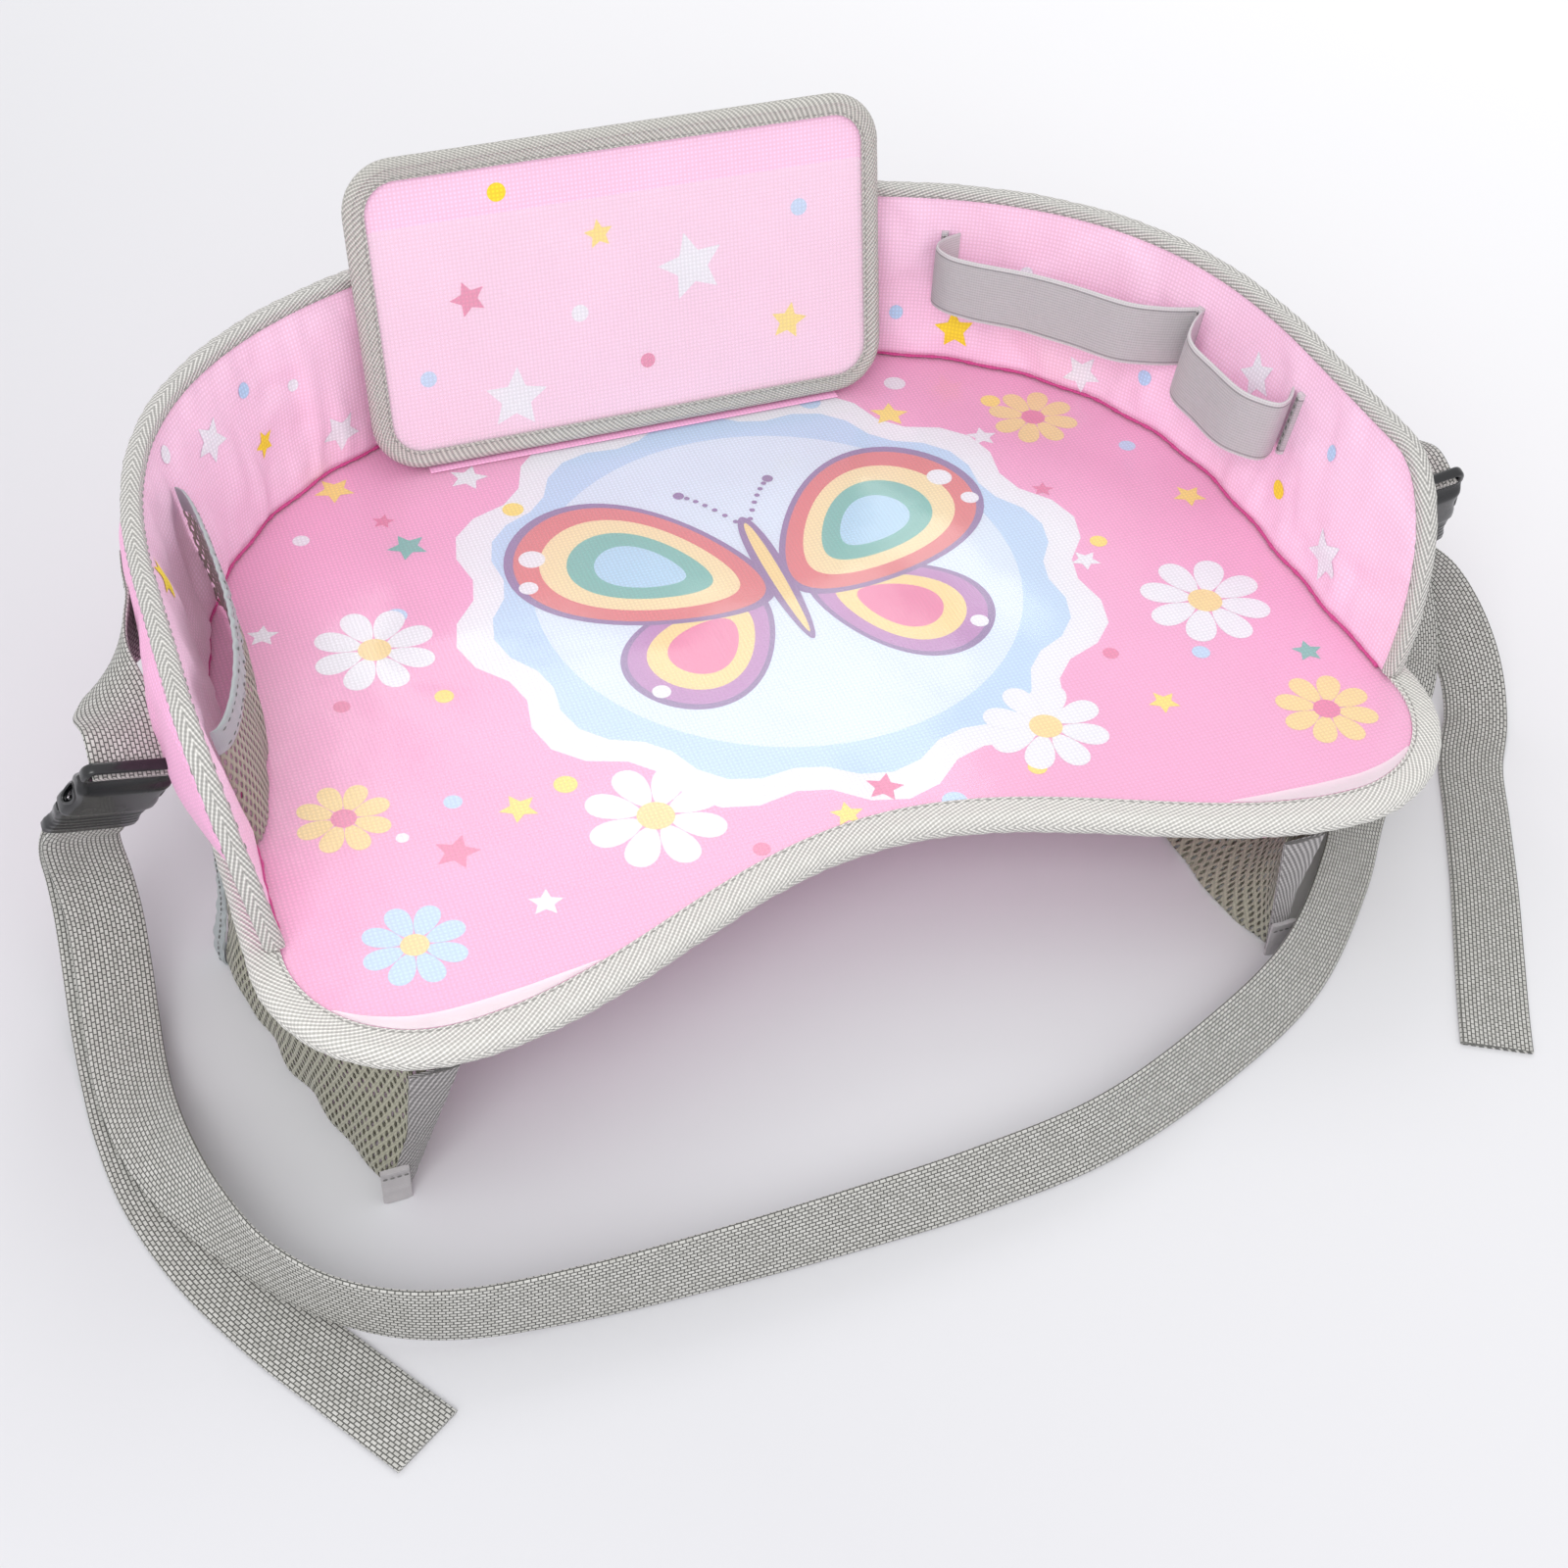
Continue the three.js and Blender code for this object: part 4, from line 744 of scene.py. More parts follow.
def wall_edge(step):
    """The wall's top edge: level, then a quarter ellipse of 42 by 74 mm down to each front end.
    Each row is the length along, the height, and the outward way across the edge."""
    step = 2 * WALL_FLAT / round(2 * WALL_FLAT / step)
    flat = np.arange(-WALL_FLAT, WALL_FLAT + step / 2, step)
    turn = np.linspace(0, np.pi / 2, 29)[1:]
    height = np.maximum(WALL_HEIGHT * np.cos(turn), 0.6)
    across = unit(np.stack([np.sin(turn) / END_ROUND, np.cos(turn) / WALL_HEIGHT], 1))
    right = np.column_stack([WALL_FLAT + END_ROUND * np.sin(turn), height, across])
    left = right[::-1] * (-1, 1, -1, 1)
    one = np.ones_like(flat)
    level = np.column_stack([flat, one * WALL_HEIGHT, one * 0, one])
    return np.vstack([left, level, right])


def closed_edge(count):
    """Equal steps once round the base's edge."""
    return (np.arange(count) + 0.5) / count * 2 * HALF_EDGE - HALF_EDGE


def film_wave(x, y):
    """The laid film's slack: long waves of about half a millimetre, gone at the edge and the hinge."""
    from_middle = np.hypot(x / 190, (y + 5) / 140)
    calm = (1 - smoothstep(from_middle, 0.55, 1.0)) * (1 - smoothstep(y, 60, 105))
    waves = wobble(x + 0.4 * y, (0.25, 83, 0.4), (0.15, 47, 1.9)) + wobble(y - 0.3 * x, (0.2, 71, 2.2))
    return calm * (0.45 + waves)


def settle(places, pinned, stretch, rise, sink):
    """Cloth simulation on an open grid for 18 frames: pinned points stay, and the rest grow by the
    stretch share with no gravity. Then each move is eased by limit x tanh(move / limit): along the
    grid's normal to rise on one side and sink on the other, and in its plane to 1.5 mm."""
    frames, slide = 18, 1.5
    rows, columns = places.shape[:2]
    piece = grid_piece("settling", places, PINK, None, tube=False)
    group = piece.vertex_groups.new(name="pins")
    group.add(np.flatnonzero(pinned.ravel()).tolist(), 1.0, "REPLACE")
    cloth = piece.modifiers.new("settling", "CLOTH")
    s = cloth.settings
    s.quality = 5
    s.mass = 0.15
    s.tension_stiffness = s.compression_stiffness = 12
    s.shear_stiffness = 6
    s.bending_stiffness = 0.05
    s.vertex_group_mass = "pins"
    s.shrink_min = -stretch
    s.effector_weights.gravity = 0
    cloth.collision_settings.use_collision = False
    cloth.point_cache.frame_start, cloth.point_cache.frame_end = 1, frames
    for number in range(1, frames + 1):
        bpy.context.scene.frame_set(number)
    shown = piece.evaluated_get(bpy.context.evaluated_depsgraph_get())
    moved = np.zeros(rows * columns * 3)
    shown.data.vertices.foreach_get("co", moved)
    bpy.context.scene.frame_set(1)
    bpy.data.objects.remove(piece)
    move = (moved.reshape(rows, columns, 3) / MM - SHIFT) - places
    normal = grid_normals(places)
    out = np.sum(move * normal, -1, keepdims=True)
    in_plane = move - out * normal
    limit = np.where(out > 0, rise, sink)
    size = np.linalg.norm(in_plane, axis=-1, keepdims=True) + 1e-9
    in_plane = in_plane * np.tanh(size / slide) * slide / size
    return places + normal * limit * np.tanh(out / limit) + in_plane


def grid_normals(places):
    """Unit normals of a grid: the cross product of its two differences."""
    return unit(np.cross(np.gradient(places, axis=0), np.gradient(places, axis=1)) + 1e-12)


def soften(places):
    """Each inner point goes half way to the mean of its four neighbours, twice."""
    for _ in range(2):
        mean = (places[:-2, 1:-1] + places[2:, 1:-1] + places[1:-1, :-2] + places[1:-1, 2:]) / 4
        places = places.copy()
        places[1:-1, 1:-1] = (places[1:-1, 1:-1] + mean) / 2
    return places


# Stitches and prints

def stitch_row(name, places, directions, ups, body, material, length, width, high=0.5):
    """Sewing stitches: each a small six-sided spindle of five rings along its direction."""
    t = np.linspace(-1, 1, 5)
    girth = np.sqrt(np.maximum(1 - t**2, 0.05))
    turn = full_turn(6)
    along = np.broadcast_to(t[:, None] * length / 2, (5, 6))
    across = girth[:, None] * np.cos(turn) * width / 2
    out = girth[:, None] * np.sin(turn) * high / 2
    side = np.cross(ups, directions)
    grid = (
        places[:, None, None]
        + directions[:, None, None] * along[None, ..., None]
        + side[:, None, None] * across[None, ..., None]
        + ups[:, None, None] * out[None, ..., None]
    )
    return many(name, grid, material, body)


def many(name, grids, material, body, colours=None, uvs=None):
    """One mesh of many equal tubes: grids is pieces x rows x columns of places, each one capped.
    Without uvs, two slanting sums of the places' coordinates serve as pattern coordinates."""
    count, rows, columns = grids.shape[:3]
    i = np.arange(rows - 1)[:, None]
    j = np.arange(columns)[None, :]
    one = np.stack([(i + a) * columns + (j + b) % columns for a, b in FACE_CORNERS], -1)
    one = one.reshape(-1, 4)
    starts = np.arange(count) * rows * columns
    quads = (starts[:, None, None] + one).reshape(-1, 4)
    around = np.arange(columns)
    last = (rows - 1) * columns
    caps = [start + around for start in starts] + [start + last + around[::-1] for start in starts]
    flat = grids.reshape(-1, 3)
    if uvs is None:
        uvs = np.stack([flat[:, 0] - 0.6 * flat[:, 1], flat[:, 2] + flat[:, 1]], 1)
    uv = uvs.reshape(-1, 2)
    piece = make_mesh(name, flat, quads, caps, uv[quads], [uv[cap] for cap in caps], material, body)
    if colours is not None:
        ink = piece.data.color_attributes.new("ink", "FLOAT_COLOR", "POINT")
        inks = np.repeat(np.array(colours), rows * columns, axis=0)
        ink.data.foreach_set("color", inks.astype(np.float32).ravel())
    return piece


# Each printed rim has this many points
RIM_POINTS = 60


def star_shape(radius, turn):
    """A five-pointed star's rim: straight lines between tips at the radius and notches at 0.47 of
    it, each point then moved a twentieth of the way to each of its neighbours."""
    points, inner, count = 5, 0.47, RIM_POINTS
    corners = np.arange(2 * points + 1)
    angle = corners * np.pi / points + turn
    reach = np.where(corners % 2 == 0, radius, radius * inner)
    x, y = reach * np.cos(angle), reach * np.sin(angle)
    t = np.arange(count) / count * 2 * points
    rim = np.stack([np.interp(t, corners, x), np.interp(t, corners, y)], 1)
    return rim * 0.9 + (np.roll(rim, 1, 0) + np.roll(rim, -1, 0)) * 0.05


def egg_shape(length, width, turn=0.0, skew=0.0):
    """An egg's rim: x = length cos t, y = width sin t (1 + skew cos t), turned."""
    t = full_turn(RIM_POINTS)
    x, y = length * np.cos(t), width * np.sin(t) * (1 + skew * np.cos(t))
    return np.stack([x * np.cos(turn) - y * np.sin(turn), x * np.sin(turn) + y * np.cos(turn)], 1)


def scallop_shape(radius, lobes, depth):
    """A scalloped round: the radius times 1 - depth + depth |cos(lobes t / 2)|."""
    t = full_turn(RIM_POINTS)
    reach = radius * (1 - depth + depth * np.abs(np.cos(lobes * t / 2)))
    return np.stack([reach * np.cos(t), reach * np.sin(t)], 1)


# Where each patch's rings lie from its middle to its rim, and how high its ink lies on the surface,
# with a step for each layer
RING_SHARES = np.array([0.02, 0.25, 0.5, 0.75, 1.0])
INK_LIFT = 0.04
INK_STEP = 0.025
INK_THICK = 0.015


def print_patches(name, patches, to_place, body):
    """Ink patches: each one (centre, rim, colour, layer) becomes five rings, put on the surface by
    to_place(x, y, height), with as many rings just beneath, so that it is a thin closed disc."""
    grids, colours, uvs = [], [], []
    for centre, rim, colour, layer in patches:
        flat = np.asarray(centre)[None, None] + RING_SHARES[:, None, None] * rim[None]
        high = INK_LIFT + INK_STEP * layer
        top = to_place(flat[..., 0], flat[..., 1], high)
        low = to_place(flat[..., 0], flat[..., 1], high - INK_THICK)
        grids.append(np.concatenate([top, low[::-1]]))
        colours.append(linear(colour))
        uvs.append(np.concatenate([flat, flat[::-1]]))
    return many(name, np.array(grids), PRINT, body, colours, np.array(uvs))


WHITE = "#f1f0f8"
GOLD = "#f8d884"
YELLOW = "#ffe03c"
SKY = "#bcd9f8"
TEAL = "#54b3aa"
PINK_INK = "#e95f9f"
VIOLET = "#7d4d9b"
MAUVE = "#b667b8"
RED = "#e0525a"
CREAM = "#f7dfa6"
GREEN = "#4fb3a9"
ICE = "#a9d5f0"
PALE_SKY = "#dceafb"


def star_patches(patches, rows, turn, turn_by, layer):
    """Stars from rows of place, size and colour, each turned by its own place."""
    for at, size, colour in rows:
        patches.append((at, star_shape(size, turn + turn_by * at[0]), colour, layer))


def dot_patches(patches, rows, layer):
    """Dots from rows of place, radius and colour."""
    for at, size, colour in rows:
        patches.append((at, egg_shape(size, size), colour, layer))


def on_floor(x, y, high):
    """The floor's cloth, flat, raised by high."""
    return np.stack([x, y, FLOOR_TOP + high + 0 * x], -1)


def butterfly(patches, at, size):
    """A large butterfly: on each side two egg-shaped wings in nested bands, then a slim body."""
    def patch(x, y, length, width, turn, skew, colour, layer):
        """One egg-shaped patch, its place and size in the butterfly's own units."""
        rim = egg_shape(length * size, width * size, turn, skew)
        patches.append(((at[0] + x * size, at[1] + y * size), rim, colour, layer))

    upper = ((1, VIOLET), (0.93, RED), (0.74, CREAM), (0.54, GREEN), (0.34, ICE))
    lower = ((1, VIOLET), (0.92, MAUVE), (0.7, GOLD), (0.46, PINK_INK))
    for side in (-1, 1):
        for x, y, length, width, tilt, skew, bands, layer in (
            (38, -27, 36, 25, -0.72, 0.3, lower, 2),
            (47, 22, 52, 34, 0.62, 0.32, upper, 4),
        ):
            turn = np.pi / 2 - side * (np.pi / 2 - tilt)
            for k, (share, colour) in enumerate(bands):
                patch(side * x, y, length * share, width * share, turn, skew, colour, layer + 0.5 * k)
        for x, y, wide in ((84, 40, 5), (90, 24, 3.6), (62, -46, 3.4)):
            patch(side * x, y, wide, wide, 0, 0, WHITE, 7)
        for k in range(7):
            wide = 1.1 if k < 6 else 2.2
            patch(side * (3 + 2.6 * k), 38 + 5.2 * k - 0.25 * k * k, wide, wide, 0, 0, VIOLET, 7)
    patch(0, 2, 38, 5.6, np.pi / 2, 0.2, VIOLET, 8)
    patch(0, 2, 34, 2.6, np.pi / 2, 0.2, GOLD, 8.5)


def daisy(patches, at, size, petals, middle):
    """A daisy: eight egg-shaped petals round a disc."""
    for k, turn in enumerate(full_turn(8) + 0.2):
        centre = (at[0] + 0.62 * size * np.cos(turn), at[1] + 0.62 * size * np.sin(turn))
        patches.append((centre, egg_shape(0.4 * size, 0.23 * size, turn, 0.3), petals, 3 + 0.5 * (k % 2)))
    patches.append((at, egg_shape(0.27 * size, 0.27 * size), middle, 4.5))


def make_floor_print():
    """A butterfly on a scalloped round, with daisies, stars and dots strewn over the floor."""
    middle = (12, 12)
    patches = [
        (middle, scallop_shape(124, 12, 0.12), WHITE, 0),
        (middle, scallop_shape(110, 12, 0.1), SKY, 0.7),
        (middle, egg_shape(92, 92), PALE_SKY, 1.3),
    ]
    butterfly(patches, middle, 1.0)
    for at, size, petals in (
        ((-140, 20), 22, WHITE),
        ((-72, -92), 24, WHITE),
        ((72, -94), 22, WHITE),
        ((160, -50), 24, WHITE),
        ((150, 78), 18, GOLD),
        ((-170, -60), 16, GOLD),
        ((172, -118), 18, GOLD),
        ((-162, -122), 17, SKY),
    ):
        daisy(patches, at, size, petals, GOLD if petals != GOLD else PINK_INK)
    stars = (
        ((-81, 109), 8, WHITE),
        ((-114, 74), 8, TEAL),
        ((-119, 92), 4.5, PINK_INK),
        ((-139, -87), 8, PINK_INK),
        ((-114, -74), 7, YELLOW),
        ((-11, -112), 6, YELLOW),
        ((6, -104), 7, PINK_INK),
        ((94, 98), 8.2, YELLOW),
        ((124, 72), 6.4, WHITE),
        ((132, 32), 4.6, PINK_INK),
        ((128, -14), 6, WHITE),
        ((-132, 117), 8.2, YELLOW),
        ((186, 10), 7, YELLOW),
        ((-176, 40), 6, WHITE),
        ((118, -96), 6, YELLOW),
        ((-118, -118), 6, WHITE),
        ((182, -88), 6, TEAL),
    )
    dots = (
        ((-151, 90), 3.2, WHITE),
        ((-128, 36), 4, SKY),
        ((-134, -64), 3.2, SKY),
        ((-154, -75), 2.2, WHITE),
        ((-123, -12), 3.4, YELLOW),
        ((-96, -68), 4.1, YELLOW),
        ((60, -112), 3.4, YELLOW),
        ((138, -5), 3.4, YELLOW),
        ((105, 118), 4.5, WHITE),
        ((138, 94), 4.1, YELLOW),
        ((66, 116), 4.5, SKY),
        ((-70, 84), 4.1, YELLOW),
        ((26, -118), 4.5, SKY),
        ((144, -76), 3.4, SKY),
        ((-158, -6), 3, PINK_INK),
        ((112, -66), 3, PINK_INK),
        ((-44, -118), 3, PINK_INK),
        ((178, 48), 3.4, SKY),
    )
    star_patches(patches, stars, 0.3, 0.13, 3)
    dot_patches(patches, dots, 3)
    print_patches("floor_print", patches, on_floor, TRAY)


# The base

def rings_of(rim, top, low, centre=(0.0, 0.0), steps=46):
    """A closed thin plate: rings from the centre to the rim on the top, and back on the under side.
    top and low give the heights from x and y."""
    shares = np.linspace(0.02, 1, steps)
    flat = np.asarray(centre) + shares[:, None, None] * (rim[None] - np.asarray(centre))
    upper = np.concatenate([flat, top(flat[..., 0], flat[..., 1])[..., None]], -1)
    lower = np.concatenate([flat, low(flat[..., 0], flat[..., 1])[..., None]], -1)
    return np.concatenate([upper, lower[::-1]])


def make_film_lip(name, start, end):
    """Where the film rides up on the front binding: a strip along the edge, widest in its middle by
    sin(pi t)^0.8, that rises towards the binding. Its strong milky veil is a painted highlight."""
    t = np.linspace(0, 1, 80)[:, None]
    across = np.linspace(0, 1, 7)[None, :]
    along = lerp(start, end, t)
    wide = 0.6 + 5.6 * np.sin(np.pi * t) ** 0.8
    inset = 10.9 + wide * across
    high = 65.2 + 0.35 * (1 - across) ** 2 + 0.12 * wobble(along, (0.5, 23, 0.4))
    top = edge_place(along, inset, high)
    low = edge_place(along, inset, high - 0.15)
    lip = grid_piece(f"floor_film_lip_{name}", np.concatenate([top, low[:, ::-1]], 1), FILM_LIP_PAINTED_HIGHLIGHT, TRAY)


def make_base():
    """The covers stretched over the board as flat plates, and the film laid on the floor in slow
    waves, each drawn in from the base's edge."""
    edge = closed_edge(420)
    rim = edge_place(edge, 1.5, 0)[:, :2]
    top = rings_of(rim, lambda x, y: FLOOR_TOP + 0 * x, lambda x, y: 63.3 + 0 * x)
    cloth = grid_piece("floor_cloth", top, UNDER_FILM, TRAY, uv=plan_uv(top))
    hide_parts("base_top_cover")
    sag = lambda x, y: 0.25 * wobble(x + 0.5 * y, (1, 60, 0.3)) - 0.3
    under = rings_of(rim, lambda x, y: 58.6 + 0 * x, lambda x, y: 58.0 + sag(x, y), steps=30)
    below = grid_piece("under_cloth", under, PINK, TRAY, uv=plan_uv(under))
    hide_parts("base_under_cover")
    rim = edge_place(edge, 11.25, 0)[:, :2]
    ripple = lambda x, y: film_wave(x, y) * 1.3 + 0.12
    top, low = (lambda x, y: 64.45 + ripple(x, y)), (lambda x, y: 64.2 + ripple(x, y))
    film = rings_of(rim, top, low, steps=60)
    vinyl = grid_piece("floor_film_sheet", film, FLOOR_FILM, TRAY, uv=plan_uv(film))
    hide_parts("clear_floor_film")
    for name, start, end in (("left", -562, -458), ("right", 466, 556)):
        make_film_lip(name, start, end)
    make_floor_print()


def base_binding_section():
    """The tape folded round the base's edge, as (inset, z): out over the top leg, round the edge
    and back under, then the same way back along its inner face."""
    turn = np.linspace(np.pi / 2, -np.pi / 2, 11)
    roll = np.stack([3.2 - 3.2 * np.cos(turn), BINDING_MIDDLE + 4.35 * np.sin(turn)], 1)
    top = np.stack([np.linspace(BINDING_INSET, 3.6, 7), np.full(7, 65.4)], 1)
    top[0] = (10.9, 65.1)
    bottom = np.stack([np.linspace(3.6, BINDING_INSET, 6), np.full(6, 56.5)], 1)
    inner_bottom = np.stack([np.linspace(BINDING_INSET, 3.4, 4), np.full(4, 57.6)], 1)
    inner_roll = np.array([(1.4, 58.6), (1.2, BINDING_MIDDLE), (1.4, 63.3)])
    inner_top = np.stack([np.linspace(3.4, BINDING_INSET, 4), np.full(4, 64.25)], 1)
    return np.vstack([top, roll, bottom, inner_bottom, inner_roll, inner_top])


def make_base_binding():
    """The tape's section carried round the edge, puckered by small waves, with a row of stitches
    on its upper and lower leg."""
    edge = closed_edge(700)
    section = base_binding_section()
    inset, z = section[None, :, 0], section[None, :, 1]
    outer = np.clip((BINDING_INSET - inset) / BINDING_INSET, 0, 1)
    gather = wobble(edge, (0.16, 7.1, 0.2), (0.12, 11.7, 1.3), (0.1, 29, 0.5))[:, None] * outer
    high = z + gather * np.sign(z - BINDING_MIDDLE) * 0.6
    grid = edge_place(edge[:, None], inset - gather * 0.5, high)
    tape = grid_piece("base_binding_tape", grid, BASE_TAPE, TRAY, ring=True)
    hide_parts("base_edge_binding")
    marks = np.arange(-HALF_EDGE + 2, HALF_EDGE - 2, 3.4)
    for name, inset, z, way in (("upper", 9.6, 65.45, 1), ("lower", 9.0, 56.4, -1)):
        places = edge_place(marks, inset, z)
        ahead = unit(edge_place(marks + 0.5, inset, z) - edge_place(marks - 0.5, inset, z))
        up = np.broadcast_to([0.0, 0.0, way], places.shape)
        name = f"base_binding_{name}_stitches"
        row = stitch_row(name, places, ahead, up, TRAY, GREY_THREAD, 2.0, 0.6, 0.45)


# The wall

EDGE = wall_edge(2.2)
UP = np.linspace(0, 1, 25)


def wall_grid(stand):
    """Places over the wall up to its top edge: stand gives the offset from the length along and
    the share of the height."""
    along, height = EDGE[:, :1], EDGE[:, 1:2]
    up = np.broadcast_to(UP, (len(EDGE), len(UP)))
    return wall_place(along, height * up, stand(along, up))


# Lengths along the wall at which loops and the inner pocket are sewn through the lining
SEWN = (-372.0, -240.0, 138.0, 256.0, 322.0)


def sewn_down(along):
    """0 at the sewn lines and 1 away from them: the product of 1 - exp(-(distance / 9)^2)."""
    return np.prod([1 - np.exp(-(((along - at) / 9) ** 2)) for at in SEWN], axis=0)


def wall_pins(sewn):
    """True where the cloth is held: at the foot, under the binding, at both front ends and, where
    sewn is set, along the sewn lines."""
    up = np.broadcast_to(UP, (len(EDGE), len(UP)))
    pins = (up <= 0.0) | (up >= 0.93)
    pins[:6] = pins[-6:] = True
    if sewn:
        pins |= (sewn_down(EDGE[:, :1]) < 0.2) & (up > 0.35) & (up < 0.85)
    return pins


def lining_stand(along, up):
    """The lining's place off the wall's inner face: inward by its puckers, by gathers that rise
    from the seam and fade as exp(-3 up), fuller on the left, and by slanting waves of slack."""
    fuller = lerp(1.0, 0.3, smoothstep(along, -120, 60)) * away_from_ends(along)
    fading = np.exp(-up * 3.0) * (1 - np.exp(-up * 16)) * fuller
    gathers = wobble(along, (1.9, 12.5, 0.3), (1.2, 18.7, 1.1)) * fading
    slack = wobble(along + 26 * up, (1.0, 47, 0.8), (0.65, 31, 2.0)) * np.sin(np.pi * up) ** 1.2
    slack = slack * sewn_down(along) * away_from_ends(along)
    return 0.3 - pucker(along, up) - np.maximum(gathers + slack, -0.2)


def cover_stand(along, up):
    """The outer cover's place off the wall's inner face: the core's thickness, then a swell of
    sin(pi up^1.25)^0.8, fuller towards the left front end, and slanting waves of slack."""
    ends = away_from_ends(along)
    fuller = smoothstep(-along, 312, 365)
    swell = (4.0 + 4.6 * fuller) * np.sin(np.pi * up ** 1.25) ** 0.8
    slack = wobble(along - 18 * up, (0.5, 63, 0.2), (0.4, 38, 1.4)) * np.sin(np.pi * up)
    return 4.5 + (swell + slack) * ends


def make_wall():
    """The lining and the outer cover, each settled as cloth, on a pattern that follows the wall."""
    lining = wall_grid(lining_stand)
    cover = wall_grid(cover_stand)
    lining = soften(settle(lining, wall_pins(sewn=True), 0.035, 2.6, 0.2))
    cover = soften(settle(cover, wall_pins(sewn=False), 0.03, 0.5, 2.6))
    along, height = EDGE[:, :1], EDGE[:, 1:2]
    uv = np.stack(np.broadcast_arrays(along, height * UP), -1)
    inner = grid_piece("wall_lining_cloth", lining, LINING_PAINTED_LIGHT, TRAY, tube=False, uv=uv)
    outer = grid_piece("wall_cover_cloth", cover, PINK, TRAY, tube=False, uv=uv)
    for piece, node, slot in (
        (inner, "wall_lining", "lining_fabric"),
        (outer, "wall_outer_cover", "cover_fabric"),
    ):
        thicken(piece, 0.55)
        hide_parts(node)
    return lining


def wall_sampler(lining):
    """Finds a place on the settled lining from the length along and the height: the four nearest
    grid points, weighed by nearness."""
    level = np.flatnonzero(EDGE[:, 1] >= WALL_HEIGHT - 0.01)
    normals = grid_normals(lining)
    towards = np.sign(np.sum(normals[len(EDGE) // 2, 12] * (0, -1, 0)))

    def place(along, height, high):
        """The lining's place, raised by high and by 0.45 mm, which clears its own thickness."""
        i = np.interp(along, EDGE[level, 0], level)
        j = np.clip(height / WALL_HEIGHT, 0, 1) * (len(UP) - 1)
        i0 = np.minimum(i.astype(int), len(EDGE) - 2)
        j0 = np.minimum(j.astype(int), len(UP) - 2)
        s, t = (i - i0)[..., None], (j - j0)[..., None]

        def blend(values):
            """The four nearest values, weighed by nearness."""
            low = lerp(values[i0, j0], values[i0 + 1, j0], s)
            return lerp(low, lerp(values[i0, j0 + 1], values[i0 + 1, j0 + 1], s), t)

        return blend(lining) + unit(blend(normals)) * towards * (high + 0.45)

    return place


def make_wall_print(lining):
    """Stars and dots on the settled lining, placed by length along the wall and height."""
    stars = (
        ((146.5, 14), 9, YELLOW),
        ((208.5, 9), 9, WHITE),
        ((295, 48.5), 9.5, WHITE),
        ((368, 16), 11, WHITE),
        ((-207.5, 49.5), 9, WHITE),
        ((-135.5, 16), 9, WHITE),
        ((-176, 30), 6, YELLOW),
        ((98, 42), 6, PINK_INK),
        ((-300, 58), 8, YELLOW),
        ((20, 40), 8, WHITE),
        ((-60, 45), 6, YELLOW),
    )
    dots = (
        ((176, 44), 3, WHITE),
        ((240, 20), 3.2, SKY),
        ((330, 20), 3.6, YELLOW),
        ((350, 50), 3, SKY),
        ((-180, 55), 3, SKY),
        ((-235, 62), 3.2, WHITE),
        ((-155, 44), 2.6, WHITE),
        ((120, 20), 3, SKY),
    )
    patches = []
    star_patches(patches, stars, 0.3, 0.07, 1)
    dot_patches(patches, dots, 1)
    printed = print_patches("wall_print", patches, wall_sampler(lining), TRAY)


def make_seam():
    """The wall's lower seam: a thin cord of gathered cloth along the foot, its radius swelling with
    the gathers, which closes the wall on the floor. Its dark pink is painted shadow along the foot."""
    along = np.linspace(-WALL_HALF + 6, WALL_HALF - 6, 560)[:, None]
    turn = full_turn(10)[None, :]
    girth = 0.8 + wobble(along, (0.12, 5.7, 0.0), (0.12, 9.1, 1.0))
    high = -0.35 + girth * np.sin(turn) * 0.75
    grid = wall_place(along, high, 0.1 - pucker(along, 0) + girth * np.cos(turn))
    seam = grid_piece("wall_foot_seam_painted_shadow", grid, SEAM_PAINTED_SHADOW, TRAY)


def wall_binding_section():
    """The tape over the wall's top, as (offset, beyond): down the inner face, over and down the
    outer face, then back along the inner side."""
    turn = np.linspace(np.pi, 0, 11)
    arch = np.stack([2.4 + 3.25 * np.cos(turn), 1.3 * np.sin(turn) ** 0.6], 1)
    belly = 0.4 * np.sin(np.linspace(0.1, np.pi * 0.8, 5))
    leg = np.linspace(-2.8, -0.7, 5)
    down_in = np.stack([-0.65 - belly, leg], 1)
    down_out = np.stack([5.45 + belly, leg], 1)[::-1]
    outer_back = [(5.1, -2.9), (5.1, -2), (5.05, -0.2), (2.4, 0.3)]
    inner_back = [(-0.25, -0.2), (-0.3, -2), (-0.3, -2.9)]
    return np.vstack([down_in, arch, down_out, outer_back, inner_back])


